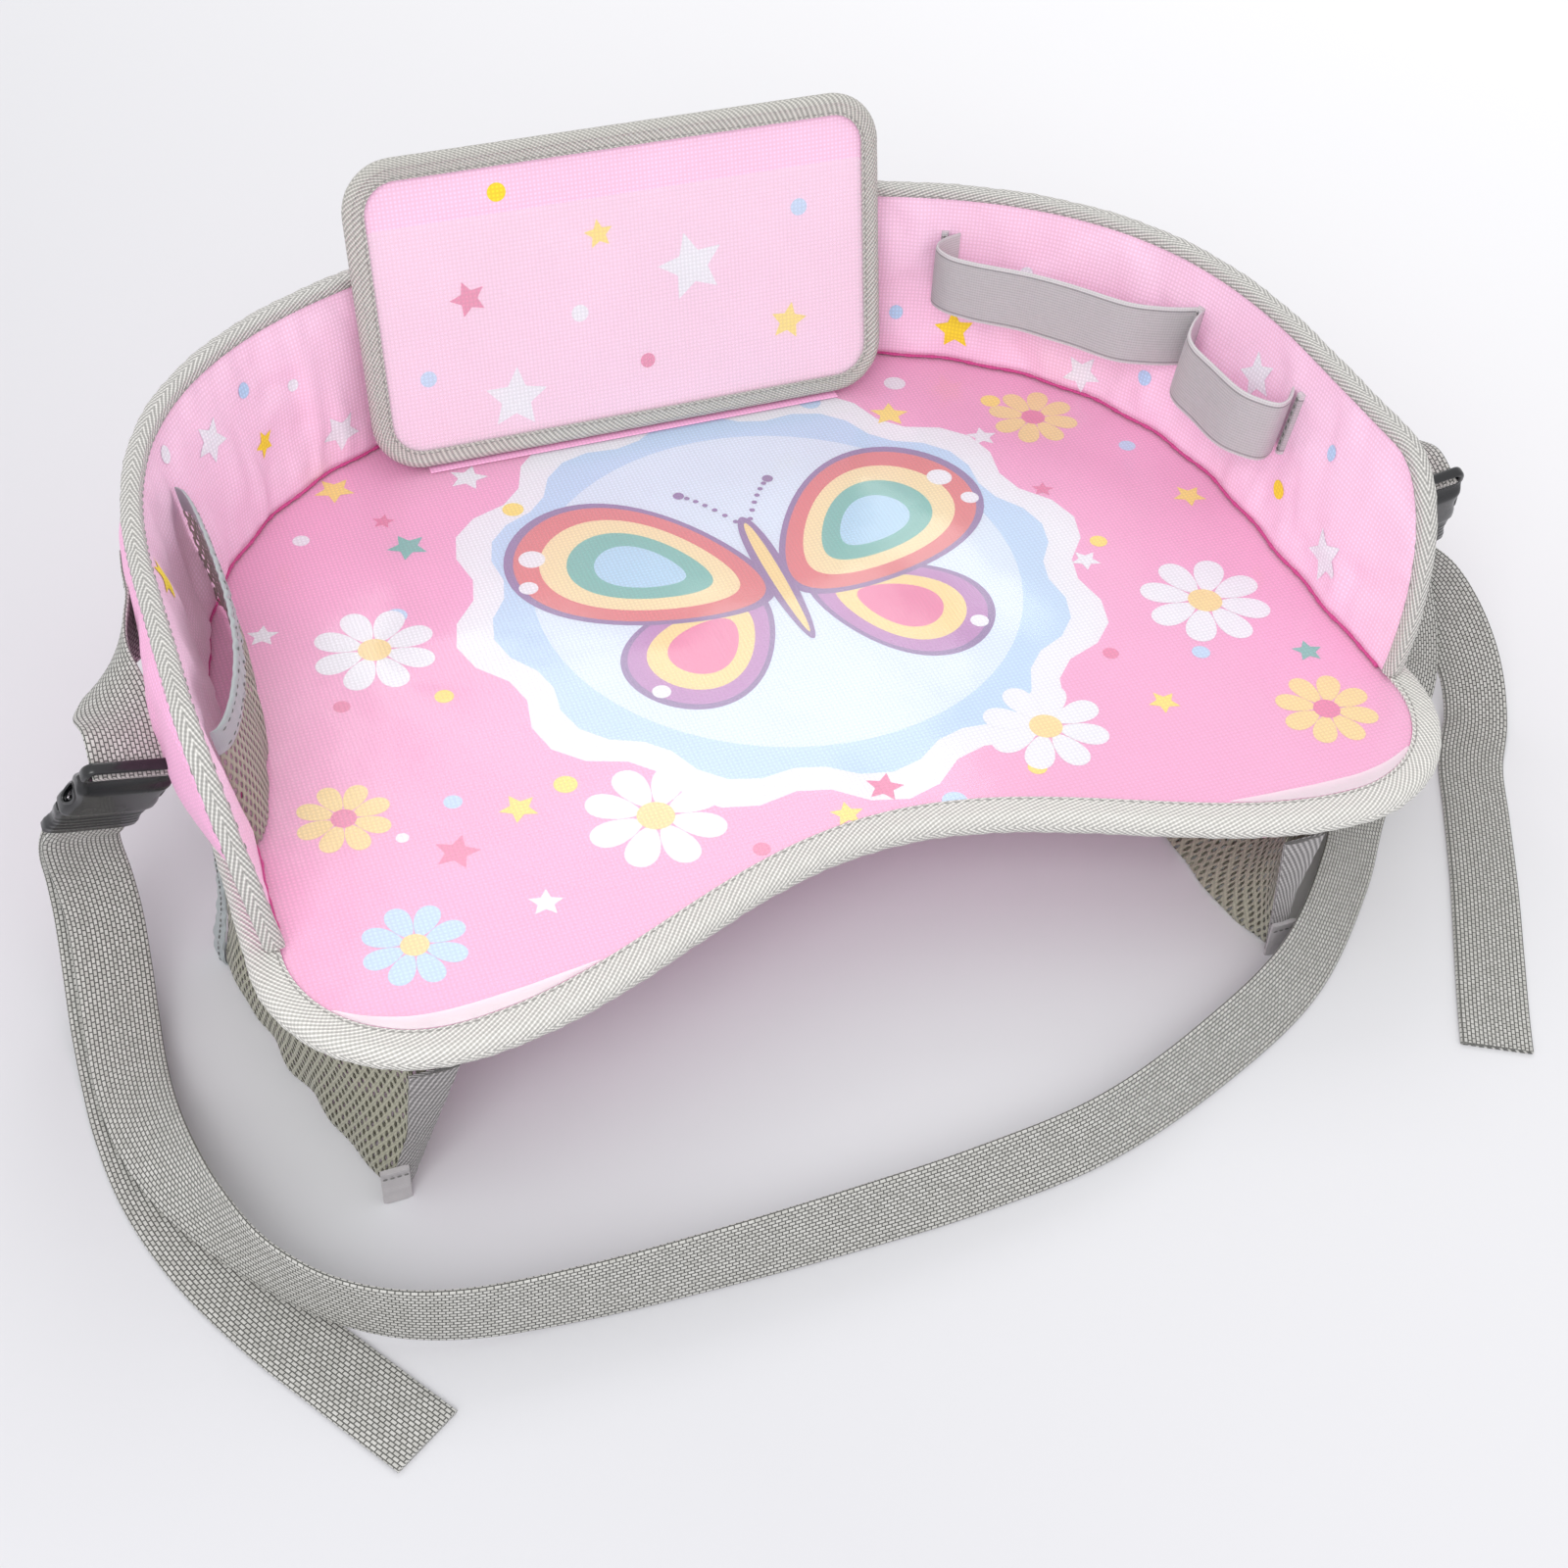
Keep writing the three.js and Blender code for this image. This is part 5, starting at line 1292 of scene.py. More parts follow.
def make_wall_binding():
    """The tape's section carried along the wall's edge, square to it and puckered by small waves,
    with a row of stitches on each leg."""
    edge = wall_edge(2.0)
    section = wall_binding_section()
    along, height = edge[:, :1], edge[:, 1:2]
    gather = wobble(along, (0.14, 6.3, 0.2), (0.1, 10.7, 1.0), (0.12, 33, 0.4))
    offset = section[None, :, 0] + gather * np.sign(section[None, :, 0] - 2.4) * 0.7
    beyond = section[None, :, 1] + gather * 0.5
    high = np.maximum(height + edge[:, 3:4] * beyond, -0.6)
    grid = wall_place(along + edge[:, 2:3] * beyond, high, offset)
    tape = grid_piece("wall_binding_tape", grid, WALL_TAPE, TRAY)
    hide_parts("wall_top_binding")
    marks = np.arange(4, len(edge) - 4, 2)
    stitch_depth = 1.9
    for name, off in (("inner", -1.1), ("outer", 5.9)):
        def spot(at):
            """The places stitch_depth below the edge at the given rows."""
            row = edge[np.clip(at, 0, len(edge) - 1)]
            high = np.maximum(row[:, 1] - row[:, 3] * stitch_depth, 1)
            return wall_place(row[:, 0] - row[:, 2] * stitch_depth, high, off)

        places = spot(marks)
        ahead = unit(spot(marks + 1) - spot(marks - 1))
        row = edge[marks]
        out = unit(wall_place(row[:, 0], row[:, 1], 1) - wall_place(row[:, 0], row[:, 1], 0)) * np.sign(off)
        ups = unit(out - ahead * np.sum(out * ahead, 1, keepdims=True))
        name = f"wall_binding_{name}_stitches"
        stitch_row(name, places, ahead, ups, TRAY, GREY_THREAD, 2.3, 0.6)


# The tablet panel

def on_panel(local):
    """Panel coordinates (along the hinge, through to the back, up the face) to the drawing: turned
    back by 12 degrees about the hinge line and moved to it."""
    x, y, z = local[..., 0], local[..., 1], local[..., 2]
    c, s = np.cos(PANEL_LEAN), np.sin(PANEL_LEAN)
    return np.stack([PANEL_FOOT[0] + x, PANEL_FOOT[1] + y * c + z * s, PANEL_FOOT[2] - y * s + z * c], -1)


def panel_rim(inset, top=None):
    """The panel's rounded rectangle drawn in by inset, at 240 equal steps of its length. Where top
    is given, it is cut off level at that height, with corners of 2 mm."""
    radius = max(PANEL_ROUND - inset, 1.0)
    top_radius = radius if top is None else 2.0
    half = PANEL_SIZE[0] / 2 - inset
    high = PANEL_SIZE[1] - inset if top is None else top
    points = []
    for x, z, quarter, r in (
        (half, high, 0, top_radius),
        (-half, high, 1, top_radius),
        (-half, inset, 2, radius),
        (half, inset, 3, radius),
    ):
        t = (quarter + np.linspace(0, 1, 24)) * np.pi / 2
        cx, cz = x - np.sign(x) * r, z - r if quarter < 2 else z + r
        points.append(np.stack([cx + r * np.cos(t), cz + r * np.sin(t)], 1))
    loop = np.vstack(points + [points[0][:1]])
    lengths = path_lengths(loop)
    marks = np.arange(240) / 240 * lengths[-1]
    return np.stack([np.interp(marks, lengths, loop[:, k]) for k in (0, 1)], 1)


def panel_sheet(name, node, rim, front, thick, material, swell):
    """A thin closed sheet on the panel, its front bulging by swell(x, z)."""
    near, far = (lambda x, z: front + swell(x, z)), (lambda x, z: front + thick + swell(x, z))
    flat = rings_of(rim, near, far, rim.mean(0), 36)
    local = flat[..., [0, 2, 1]]
    piece = grid_piece(name, on_panel(local), material, "tablet_panel", uv=plan_uv(local, 0, 2))
    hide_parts(node)


def panel_ripple(x, z):
    """The window's slack: slanting ripples of up to 0.4 mm, gone towards its edges."""
    edge = smoothstep(96 - np.abs(x), 0, 25) * smoothstep(z, 10, 32) * smoothstep(98 - z, 0, 20)
    return edge * (wobble(x + 0.9 * z, (0.2, 58, 0.5), (0.1, 33, 2.1)) + wobble(z, (0.08, 41, 0.4)))


# How far the panel's front cloth and its middle lie behind its foremost plane
PANEL_FRONT = 1.95
PANEL_MIDDLE = 3.3


def make_panel_covers():
    """Two covers stretched over the board, the back one slightly puffed, and the window's film."""
    half = PANEL_SIZE[0] / 2
    flat = lambda x, z: 0 * x
    puff = lambda x, z: 0.25 * wobble(x, (0.6, 73, 0.4)) * smoothstep(half - np.abs(x), 8, 30)
    covers = (("front", PANEL_FRONT, PANEL_CLOTH_PAINTED_LIGHT, flat), ("back", 4.75, PINK, puff))
    for side, front, material, swell in covers:
        name, node = f"panel_{side}_cloth", f"tablet_{side}_cover"
        panel_sheet(name, node, panel_rim(1.3), front, 0.55, material, swell)
    name, node = "panel_film_sheet", "tablet_window_film"
    window = panel_rim(7.3, 96.5)
    panel_sheet(name, node, window, 1.02, 0.2, PANEL_FILM, panel_ripple)


def make_panel_binding():
    """The tape's section, as (inset, through), carried round the panel's rim and puckered by small
    waves, with a row of stitches on its front and its back leg."""
    turn = np.linspace(0.1, np.pi - 0.1, 9)
    leg = np.linspace(7.6, 3, 5)
    section = np.vstack([
        np.stack([leg, np.full(5, 0.05)], 1),
        np.stack([PANEL_MIDDLE - 3.3 * np.sin(turn), PANEL_MIDDLE - 3.3 * np.cos(turn)], 1),
        np.stack([leg[::-1], np.full(5, 6.55)], 1),
        np.array([(7.6, 5.6), (3, 5.6), (1.2, PANEL_MIDDLE), (3, 1.0), (7.6, 1.0)]),
    ])
    rings = np.stack([panel_rim(inset) for inset in section[:, 0]], 1)
    around = np.linspace(0, 608, len(rings), endpoint=False)
    gather = wobble(around, (0.12, 6.9, 0.3), (0.1, 12.7, 1.5))[:, None]
    through = section[None, :, 1] + gather * np.sign(section[None, :, 1] - PANEL_MIDDLE) * 0.7
    local = np.stack([rings[..., 0], np.broadcast_to(through, rings.shape[:2]), rings[..., 1]], -1)
    tape = grid_piece("panel_binding_tape", on_panel(local), PANEL_TAPE, "tablet_panel", ring=True)
    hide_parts("tablet_panel_binding")
    rim = panel_rim(6.6)
    count = 190
    marks = np.linspace(0, len(rim), count, endpoint=False)
    rim = np.stack([np.interp(marks, np.arange(len(rim)), rim[:, k]) for k in (0, 1)], 1)
    ahead = unit(np.roll(rim, -1, 0) - np.roll(rim, 1, 0))
    for name, y, way in (("front", -0.08, -1.0), ("back", 6.7, 1.0)):
        flat = np.stack([rim[:, 0], np.full(count, y), rim[:, 1]], 1)
        tip = flat + np.stack([ahead[:, 0], np.zeros(count), ahead[:, 1]], 1)
        places = on_panel(flat)
        forward = unit(on_panel(tip) - places)
        up = unit(on_panel(flat + (0, way, 0)) - places)
        name = f"panel_{name}_stitches"
        row = stitch_row(name, places, forward, up, "tablet_panel", GREY_THREAD, 1.9, 0.55)


def make_panel_print():
    """Stars and dots on the panel's front cloth, under the film."""
    patches = [
        ((26.5, 63.5), star_shape(14, 0.5), WHITE, 1),
        ((-48.5, 22), star_shape(13, 0.2), WHITE, 1),
        ((-63, 65), star_shape(7.4, 0.6), PINK_INK, 1),
        ((66, 34), star_shape(8, 0.1), YELLOW, 1),
        ((-48, 104), egg_shape(3.6, 3.6), YELLOW, 1),
        ((72, 80), egg_shape(3.4, 3.4), SKY, 1),
        ((-20, 52), egg_shape(3.4, 3.4), WHITE, 1),
        ((6, 28), egg_shape(3, 3), PINK_INK, 1),
        ((-82, 36), egg_shape(3.2, 3.2), SKY, 1),
        ((-10, 82), star_shape(6, 0.4), YELLOW, 1),
    ]
    place = lambda x, z, high: on_panel(np.stack([x, PANEL_FRONT - high + 0 * x, z], -1))
    print_patches("panel_print", patches, place, "tablet_panel")


def make_hinge():
    """A flat strip of cloth along the hinge line, on the floor under the panel's foot."""
    x = np.linspace(-94, 78, 60)[:, None]
    top = [(115, 64.9), (115.2, 65.15), (118, 65.22), (120.8, 65.15), (121, 64.9)]
    section = np.array(top + [(118, 64.82)])
    tape = np.stack(np.broadcast_arrays(x, section[None, :, 0], section[None, :, 1]), -1)
    hinge = grid_piece("hinge_tape", tape, PINK, TRAY)
    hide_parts("tablet_hinge_tape")


# Pencil loops and inner pocket

def elastic_bow(start, end, bow, curled):
    """One loop: a smooth route of (length along the wall, stand off the lining), which swings out
    past its own sewn end where it is curled, with the band's thickness square to the route."""
    scale = min(1, (end - start) / 100)
    ways = {"start": (5, -1.5, -3.5, 2, 14 * scale), "end": np.array([0, 4, 9, 18, 30]) * scale}
    curls = [ways["start"], ways["end"]] if curled == "start" else [ways["end"], ways["start"]]
    stands = (0.3, 0.28 * bow, 0.52 * bow, 0.8 * bow, 0.95 * bow)
    left = [(start + x, y) for x, y in zip(curls[0], stands)]
    right = [(end - x, y) for x, y in zip(curls[1], stands)]
    route = even_steps(spline(np.array([*left, ((start + end) / 2, bow), *right[::-1]], float)), 1.2)
    ahead = unit(np.gradient(route, axis=0))

    def row(height, extra):
        """The route at a height, moved square to itself by extra."""
        along = route[:, 0] - ahead[:, 1] * extra
        stand = route[:, 1] + ahead[:, 0] * extra
        return wall_place(along, height, -(stand + pucker(along, height / PUCKER_HEIGHT) + 0.3))

    level = np.linspace(LOOP_LOW + 1, LOOP_HIGH - 1, 12)
    heights = np.concatenate([[LOOP_LOW, LOOP_LOW + 0.2], level, [LOOP_HIGH - 0.2, LOOP_HIGH]])
    curl = np.concatenate([[0.5, 0.15], np.zeros(12), [0.15, 0.5]])
    crown = 1.3 - curl + 0.12 * np.sin(np.pi * (heights - LOOP_LOW) / (LOOP_HIGH - LOOP_LOW))
    face = np.stack([row(h, extra) for h, extra in zip(heights, crown)], 1)
    back = np.stack([row(h, 0.1 + c * 0.4) for h, c in zip(heights, curl)], 1)
    return np.concatenate([face, back[:, ::-1]], 1)


def tack_grid(along):
    """The folded elastic where a loop is sewn down: a low rounded ridge up the wall."""
    s = np.array([-1.6, -1.2, 0, 1.2, 1.6])
    high = np.array([0.2, 1.9, 2.1, 1.9, 0.2])
    heights = np.linspace(31.6, 57.4, 14)
    stand = pucker(along, heights / PUCKER_HEIGHT)
    places = along + s
    face = wall_place(places[:, None], heights[None], -(stand[None] + high[:, None]))
    back = wall_place(places[:, None], heights[None], -(stand[None] - 0.1) + 0 * high[:, None])
    return np.concatenate([face, back[:, ::-1]], 1)


def make_pencil_loops():
    """Two loops of one elastic band, with a stitched fold before, between and after them."""
    for name, start, end, bow, curled in (
        ("long", 139.8, 254.2, 22, "start"),
        ("short", 257.8, 320.2, 21, "end"),
    ):
        loop = grid_piece(f"{name}_elastic_loop", elastic_bow(start, end, bow, curled), ELASTIC, TRAY)
        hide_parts(f"pencil_loop_{name}")
    for name, along in (("start", 138.0), ("middle", 256.0), ("end", 322.0)):
        fold = grid_piece(f"loop_fold_{name}", tack_grid(along), ELASTIC, TRAY)
        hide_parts(f"pencil_loop_tack_{name}")
        heights = np.arange(33.5, 56.5, 3.1)
        at = np.full_like(heights, along)
        places = wall_place(at, heights, -(pucker(along, heights / PUCKER_HEIGHT) + 2.2))
        up = unit(wall_place(at, heights, -3) - wall_place(at, heights, -2))
        rise = np.broadcast_to([0.0, 0.0, 1.0], places.shape)
        rise = unit(rise - up * np.sum(rise * up, 1, keepdims=True))
        row = stitch_row(f"loop_stitches_{name}", places, rise, up, TRAY, DARK_THREAD, 2.3, 0.7)


def inner_pocket_out(s, up):
    """How far the pocket stands off the wall: 1.5 mm, and sin(pi s)^0.6 times 13 mm at its foot to
    17 mm at its rim."""
    return 1.5 + np.sin(np.pi * s) ** 0.6 * lerp(13.0, 17.0, up)


def make_inner_pocket():
    """A gathered net between two sewn lines, and a flat elastic rim with two rows of stitches."""
    s = np.linspace(0, 1, 100)[:, None]
    up = np.linspace(0, 1, 26)[None, :]
    along = lerp(SEWN[1], SEWN[0], s)
    folds = wobble(s * 132, (0.7, 17, 0.2), (0.5, 29, 1.0)) * np.sin(np.pi * s) * (0.35 + 0.65 * (1 - up))
    belly = 2.0 * np.sin(np.pi * up) * np.sin(np.pi * s)
    stand = inner_pocket_out(s, up) + folds + belly
    net = wall_place(along, (POCKET_RIM_LOW - 0.1) * up, -stand)
    piece = grid_piece("inner_pocket_net", net, NET, TRAY, tube=False, even=False)
    thicken(piece, 0.2)
    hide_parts("inner_pocket_mesh")
    low, high = POCKET_RIM_LOW, POCKET_RIM_HIGH
    heights = np.concatenate([[low, low + 0.2], np.linspace(low + 1, high - 1, 7), [high - 0.2, high]])
    curl = np.concatenate([[0.6, 0.2], np.zeros(7), [0.2, 0.6]])
    out = inner_pocket_out(s, 1.0)
    ruffle = wobble(s * 132, (0.35, 5.3, 0.2), (0.25, 8.9, 1.0)) * np.sin(np.pi * s)
    face = wall_place(along, heights[None], -(out + ruffle + 1.5 - curl[None]))
    back = wall_place(along, heights[None], -(out + ruffle * 0.4 + curl[None] * 0.4))
    rim = grid_piece("inner_pocket_trim", np.concatenate([face, back[:, ::-1]], 1), TRIM, TRAY)
    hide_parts("inner_pocket_elastic_rim")
    t = np.linspace(0.02, 0.98, 36)
    for name, height in (("lower", low + 2), ("upper", high - 2)):
        spot = lambda t: wall_place(lerp(SEWN[1], SEWN[0], t), height, -(inner_pocket_out(t, 1.0) + 1.55))
        ahead = unit(spot(t + 0.005) - spot(t - 0.005))
        out_way = unit(np.cross(ahead, (0.0, 0.0, 1.0)))
        name = f"inner_pocket_{name}_stitches"
        stitch_row(name, spot(t), ahead, out_way, TRAY, DARK_THREAD, 2.2, 0.5)


# Side pockets

# For each pocket: its side, then x of its foot at the front, in the middle and at the mouth, and x
# of its upper edge at the front
FEET = {"left": (-1, 184, 203, 216, 175), "right": (1, 136, 126, 150, 143)}
POCKET_TOP = 56.2
POCKET_LENGTH = 122
POCKET_FRONT = -165.6
MOUTH_SHARE = 0.078


def pocket_line(foot, share):
    """A pocket's section at a share of its length from the mouth: corners down the outer side,
    across the fold and up the inner side, as x and z on the right."""
    _, front_x, middle_x, mouth_x, front_top = foot
    y = lerp(-44.0, POCKET_FRONT, share)
    reach = np.sqrt(np.maximum(53.5**2 - np.minimum(y + 114, 0) ** 2, 0))
    edge = np.where(y >= -114, 211.5, 158 + reach)
    outer = lerp(edge, front_top, share**4)
    inner = outer - 20 * lerp(1, 0.7, share)
    bow = middle_x - (mouth_x + front_x) / 2
    fold = lerp(mouth_x, front_x, share) + 4 * bow * share * (1 - share)
    ones = np.ones_like(share)
    fold_out, fold_in = fold + 3, fold - 3
    outer_middle, inner_middle = (outer + fold_out) / 2 - 3, (inner + fold_in) / 2 + 3 * (share - 1)
    xs = [outer, outer_middle, fold_out, fold_in, inner_middle, inner]
    zs = [ones * z for z in (POCKET_TOP, POCKET_TOP / 2, 0.4, 0.4, POCKET_TOP / 2, POCKET_TOP)]
    return np.stack([np.stack(xs, 1), np.stack(zs, 1)], -1), y


def pocket_surface(foot, share, columns=56):
    """The section's corners rounded off and set at equal shares of its length, for each share."""
    corners, y = pocket_line(foot, share)
    rows = []
    for line in corners:
        for _ in range(3):
            cut = np.stack([lerp(line[:-1], line[1:], 0.25), lerp(line[:-1], line[1:], 0.75)], 1)
            line = np.vstack([line[:1], cut.reshape(-1, 2), line[-1:]])
        lengths = path_lengths(line)
        marks = np.linspace(0, lengths[-1], columns)
        rows.append(np.stack([np.interp(marks, lengths, line[:, k]) for k in (0, 1)], 1))
    line = np.stack(rows)
    side = np.where(foot[0] < 0, -1.0, 1.0)
    return np.stack([side * line[..., 0], np.broadcast_to(y[:, None], line.shape[:2]), line[..., 1]], -1)


def make_side_pocket(name, foot):
    """A net hung under the base in slanting folds, and the folded satin round its open mouth."""
    share = np.linspace(0.075, 1, 90)
    base = pocket_surface(foot, share)
    normal = grid_normals(base)
    sign = np.sign(np.sum(normal[45, 14] * (base[45, 14] - base[45].mean(0))))
    t = np.linspace(0, 1, base.shape[1])[None, :]
    s = share[:, None]
    calm = np.sin(np.pi * t) * np.minimum(1, (1 - s) * 9)
    along = s * POCKET_LENGTH
    folds = wobble(along + 22 * t, (0.45, 23, 0.3), (0.4, 37, 1.6)) * calm
    folds += wobble(along - 60 * t, (0.35, 29, 0.9)) * calm
    grid = base + normal * sign * folds[..., None]
    grid[..., 2] = np.clip(grid[..., 2], 0.3, 56.4)
    net = grid_piece(f"{name}_pocket_net", grid, NET, TRAY, tube=False, even=False)
    thicken(net, 0.2)
    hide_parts(f"side_pocket_{name}_mesh")
    share = np.linspace(0.0, MOUTH_SHARE, 8)
    band = pocket_surface(foot, share, 90)
    out = grid_normals(band) * sign
    t = np.linspace(0, 90, 90)[None, :, None]
    gather = wobble(t, (0.3, 4.9, 0.1), (0.25, 8.3, 0.9))
    edge = np.minimum(1, np.minimum(share, MOUTH_SHARE - share) / 0.012)[:, None, None]
    outer, inner = band + out * (0.25 + 0.5 * edge + gather * 0.8), band - out * (0.2 + 0.5 * edge)
    hem = np.concatenate([outer, inner[::-1]], 0).transpose(1, 0, 2)
    hem[..., 2] = np.clip(hem[..., 2], 0.05, 56.3)
    rim = grid_piece(f"{name}_pocket_mouth_trim", hem, TRIM, TRAY)
    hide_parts(f"side_pocket_{name}_mouth_elastic")
    row = band[5]
    ahead = unit(np.gradient(row, axis=0))
    marks = np.arange(3, 88, 2)
    places = row[marks] + out[5][marks] * 1.0
    keep = places[:, 2] > 1.5
    spots = [values[keep] for values in (places, ahead[marks], out[5][marks])]
    row = stitch_row(f"{name}_pocket_mouth_stitches", *spots, TRAY, DARK_THREAD, 1.9, 0.5)
    make_pocket_front(name, foot)


def make_pocket_front(name, foot):
    """The bound seam over the V at the front end, a straight blend between its two sides, and the
    folded tab at its lower end."""
    corners, _ = pocket_line(foot, np.ones(1))
    up = np.linspace(0, 1, 40)

    def side(ends):
        """A side of the V at even shares of its height, from its lower, middle and upper corner."""
        return np.stack([np.interp(up, [0, 0.5, 1], ends[:, k]) for k in (0, 1)], 1)

    right, left = side(corners[0, 2::-1]), side(corners[0, 3:])
    widen = np.linspace(-0.06, 1.06, 12)
    across = left[:, None] + (right - left)[:, None] * widen[None, :, None]
    crown = 0.9 * np.sin(np.pi * np.clip(widen, 0, 1)) ** 0.5
    pleat = 0.15 * np.sin(up * 44)[:, None]
    height = np.maximum(across[..., 1], 0.3)
    face = np.stack([foot[0] * across[..., 0], -166.9 - crown[None] - pleat, height], -1)
    back = face.copy()
    back[..., 1] = -165.75
    both = np.concatenate([face, back[:, ::-1]], 1)
    gusset = grid_piece(f"{name}_pocket_front_tape", both, POCKET_TAPE, TRAY)
    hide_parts(f"side_pocket_{name}_front_binding")
    x = np.linspace(-4.6, 4.6, 9)
    z = np.linspace(0.25, 16, 16)
    fold = 0.5 * np.exp(-((z - 15.2) / 1.2) ** 2)[:, None] + 0.12 * np.sin(z * 1.3)[:, None]
    round_edge = 0.5 * (np.abs(x) / 4.6)[None] ** 6
    across = foot[0] * (foot[1] + x[None])
    front = np.stack(np.broadcast_arrays(across, -168.75 - fold + round_edge, z[:, None]), -1)
    rear = front.copy()
    rear[..., 1] = -167.5
    tab = grid_piece(f"{name}_pocket_end_tab", np.concatenate([front, rear[:, ::-1]], 1), TAB, TRAY)
    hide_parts(f"side_pocket_{name}_end_tab")
    marks = np.linspace(-3.4, 3.4, 4)
    places = np.stack([foot[0] * (foot[1] + marks), np.full(4, -169.1), np.full(4, 13.0)], 1)
    ahead, out = (np.broadcast_to(way, (4, 3)) for way in ([1.0, 0, 0], [0, -1.0, 0]))
    row = stitch_row(f"{name}_pocket_tab_stitches", places, ahead, out, TRAY, DARK_THREAD, 1.7, 0.6)


# Buckles

# Points round the buckle's hollow sections, and the socket's measures from its mouth up
SHELL_POINTS = 48
MOUTH_HALF = 15.5
SHELL_LENGTH = 21
WINDOW_MIDDLE = 10.5
SLOT_MIDDLE = 25


def superellipse(half_x, half_y, power):
    """A squared ellipse: each coordinate is its half size times |cos t| or |sin t| to the power,
    with its sign."""
    t = full_turn(SHELL_POINTS)
    x = half_x * np.sign(np.cos(t)) * np.abs(np.cos(t)) ** power
    y = half_y * np.sign(np.sin(t)) * np.abs(np.sin(t)) ** power
    return np.stack([x, y], 1)


def lofted(stations, power=0.42):
    """A closed tube whose section at each station (u, half width, half thickness) is a squared
    ellipse; stations may turn back inside to make a cavity."""
    rows = [np.column_stack([superellipse(w, h, power), np.full(SHELL_POINTS, u)]) for u, w, h in stations]
    return np.stack(rows)


def slab(outline, half_thick, round_by, holes):
    """A plate in x and u with rounded edges and holes: level loops drawn in by round_by (1 - cos)
    at heights half_thick - round_by (1 - sin), closed by triangles between rim and holes."""
    loops = [np.asarray(outline, float), *[np.asarray(hole, float)[::-1] for hole in holes]]
    turn = np.array([np.pi / 2, np.pi / 4, 0.0])
    insets = np.concatenate([round_by * (1 - np.cos(turn)), round_by * (1 - np.cos(turn[::-1]))])
    heights = half_thick - round_by * (1 - np.sin(turn))
    heights = np.concatenate([heights, -heights[::-1]])
    places, quads, ends, start = [], [], ([], []), 0
    for loop in loops:
        ahead = unit(np.roll(loop, -1, 0) - np.roll(loop, 1, 0))
        normal = np.stack([ahead[:, 1], -ahead[:, 0]], 1)
        n = len(loop)
        for inset, height in zip(insets, heights):
            moved = loop - normal * inset
            places.append(np.column_stack([moved[:, 0], np.full(n, height), moved[:, 1]]))
        i, j = np.arange(5)[:, None], np.arange(n)[None, :]
        faces = np.stack([(i + a) * n + (j + b) % n for a, b in FACE_CORNERS], -1)
        quads.append(start + faces.reshape(-1, 4))
        ends[0].append(start + np.arange(n))
        ends[1].append(start + 5 * n + np.arange(n))
        start += 6 * n
    places = np.vstack(places)
    caps = []
    for k, turned in ((0, False), (1, True)):
        index = np.concatenate(ends[k])
        rims = [[(places[m][0], places[m][2], 0.0) for m in rim] for rim in ends[k]]
        for triangle in tessellate_polygon(rims):
            a, b, c = (index[m] for m in triangle)
            p, q, r = places[a], places[b], places[c]
            area = (q[0] - p[0]) * (r[2] - p[2]) - (r[0] - p[0]) * (q[2] - p[2])
            if (area > 0) == turned:
                b, c = c, b
            caps.append(np.array([a, b, c]))
    return places, np.vstack(quads), caps


class Buckle:
    """A buckle's own frame: across, through and up, with its origin at the socket's mouth."""

    def __init__(self, side, tab_end, strap_end):
        """The frame's up leads from the strap's end to the tab's, which is in the socket's slot."""
        mirror = np.array([side, 1, 1])
        self.slot = np.array(tab_end, float) * mirror
        self.up = unit(self.slot - np.array(strap_end, float) * mirror)
        self.across = unit(np.array([1.0, 0, 0]) - self.up * self.up[0])
        self.through = np.cross(self.up, self.across)
        self.origin = self.slot - self.up * SLOT_MIDDLE

    def place(self, local):
        """Local (across, through, up) to the drawing."""
        return self.origin + local @ np.stack([self.across, self.through, self.up])

    def shell(self, name, local, body):
        """A moulded tube from its local rows."""
        return grid_piece(name, self.place(local), BLACK, body)

    def plate(self, name, outline, half_thick, round_by, body, holes=()):
        """A moulded plate from its local outline."""
        places, quads, caps = slab(outline, half_thick, round_by, holes)
        places = self.place(places)
        uv = places[:, :2]
        return make_mesh(name, places, quads, caps, uv[quads], [uv[cap] for cap in caps], BLACK, body)


def round_rect(half_x, low, high, radius, count=10):
    """A rectangle's rim with round corners, counter-clockwise."""
    points = []
    for x, u, quarter in ((half_x, high, 0), (-half_x, high, 1), (-half_x, low, 2), (half_x, low, 3)):
        t = (quarter + np.linspace(0, 1, count)) * np.pi / 2
        middle_x = x - np.sign(x) * radius
        middle_u = u + (radius if quarter > 1 else -radius)
        points.append(np.stack([middle_x + radius * np.cos(t), middle_u + radius * np.sin(t)], 1))
    return np.vstack(points)


def carve(piece, cutters):
    """Cuts other closed pieces away from one, exactly, and keeps the result as its mesh."""
    for cutter in cutters:
        cut = piece.modifiers.new("cut", "BOOLEAN")
        cut.operation = "DIFFERENCE"
        cut.solver = "EXACT"
        cut.object = cutter
    bpy.context.view_layer.update()
    shown = piece.evaluated_get(bpy.context.evaluated_depsgraph_get())
    mesh = bpy.data.meshes.new_from_object(shown)
    piece.modifiers.clear()
    piece.data = mesh
    mesh.shade_smooth()
    mesh.set_sharp_from_angle(angle=np.radians(38))
    for cutter in cutters:
        bpy.data.objects.remove(cutter)


# The right prong's outline as (across, up): its foot, outer side and barb, the ramp to its tip, and
# its inner side down
PRONG = np.array([
    (8.9, -0.2), (12.1, -0.2), (12.3, 3), (12.2, 6.5), (12.5, 7.9),
    (13.5, 8.2), (13.7, 9.6), (13.2, 11.6), (12.2, 13.4), (11.2, 15.2),
    (9.9, 15.9), (8.9, 15.2), (8.8, 12), (8.7, 8), (8.6, 4),
])


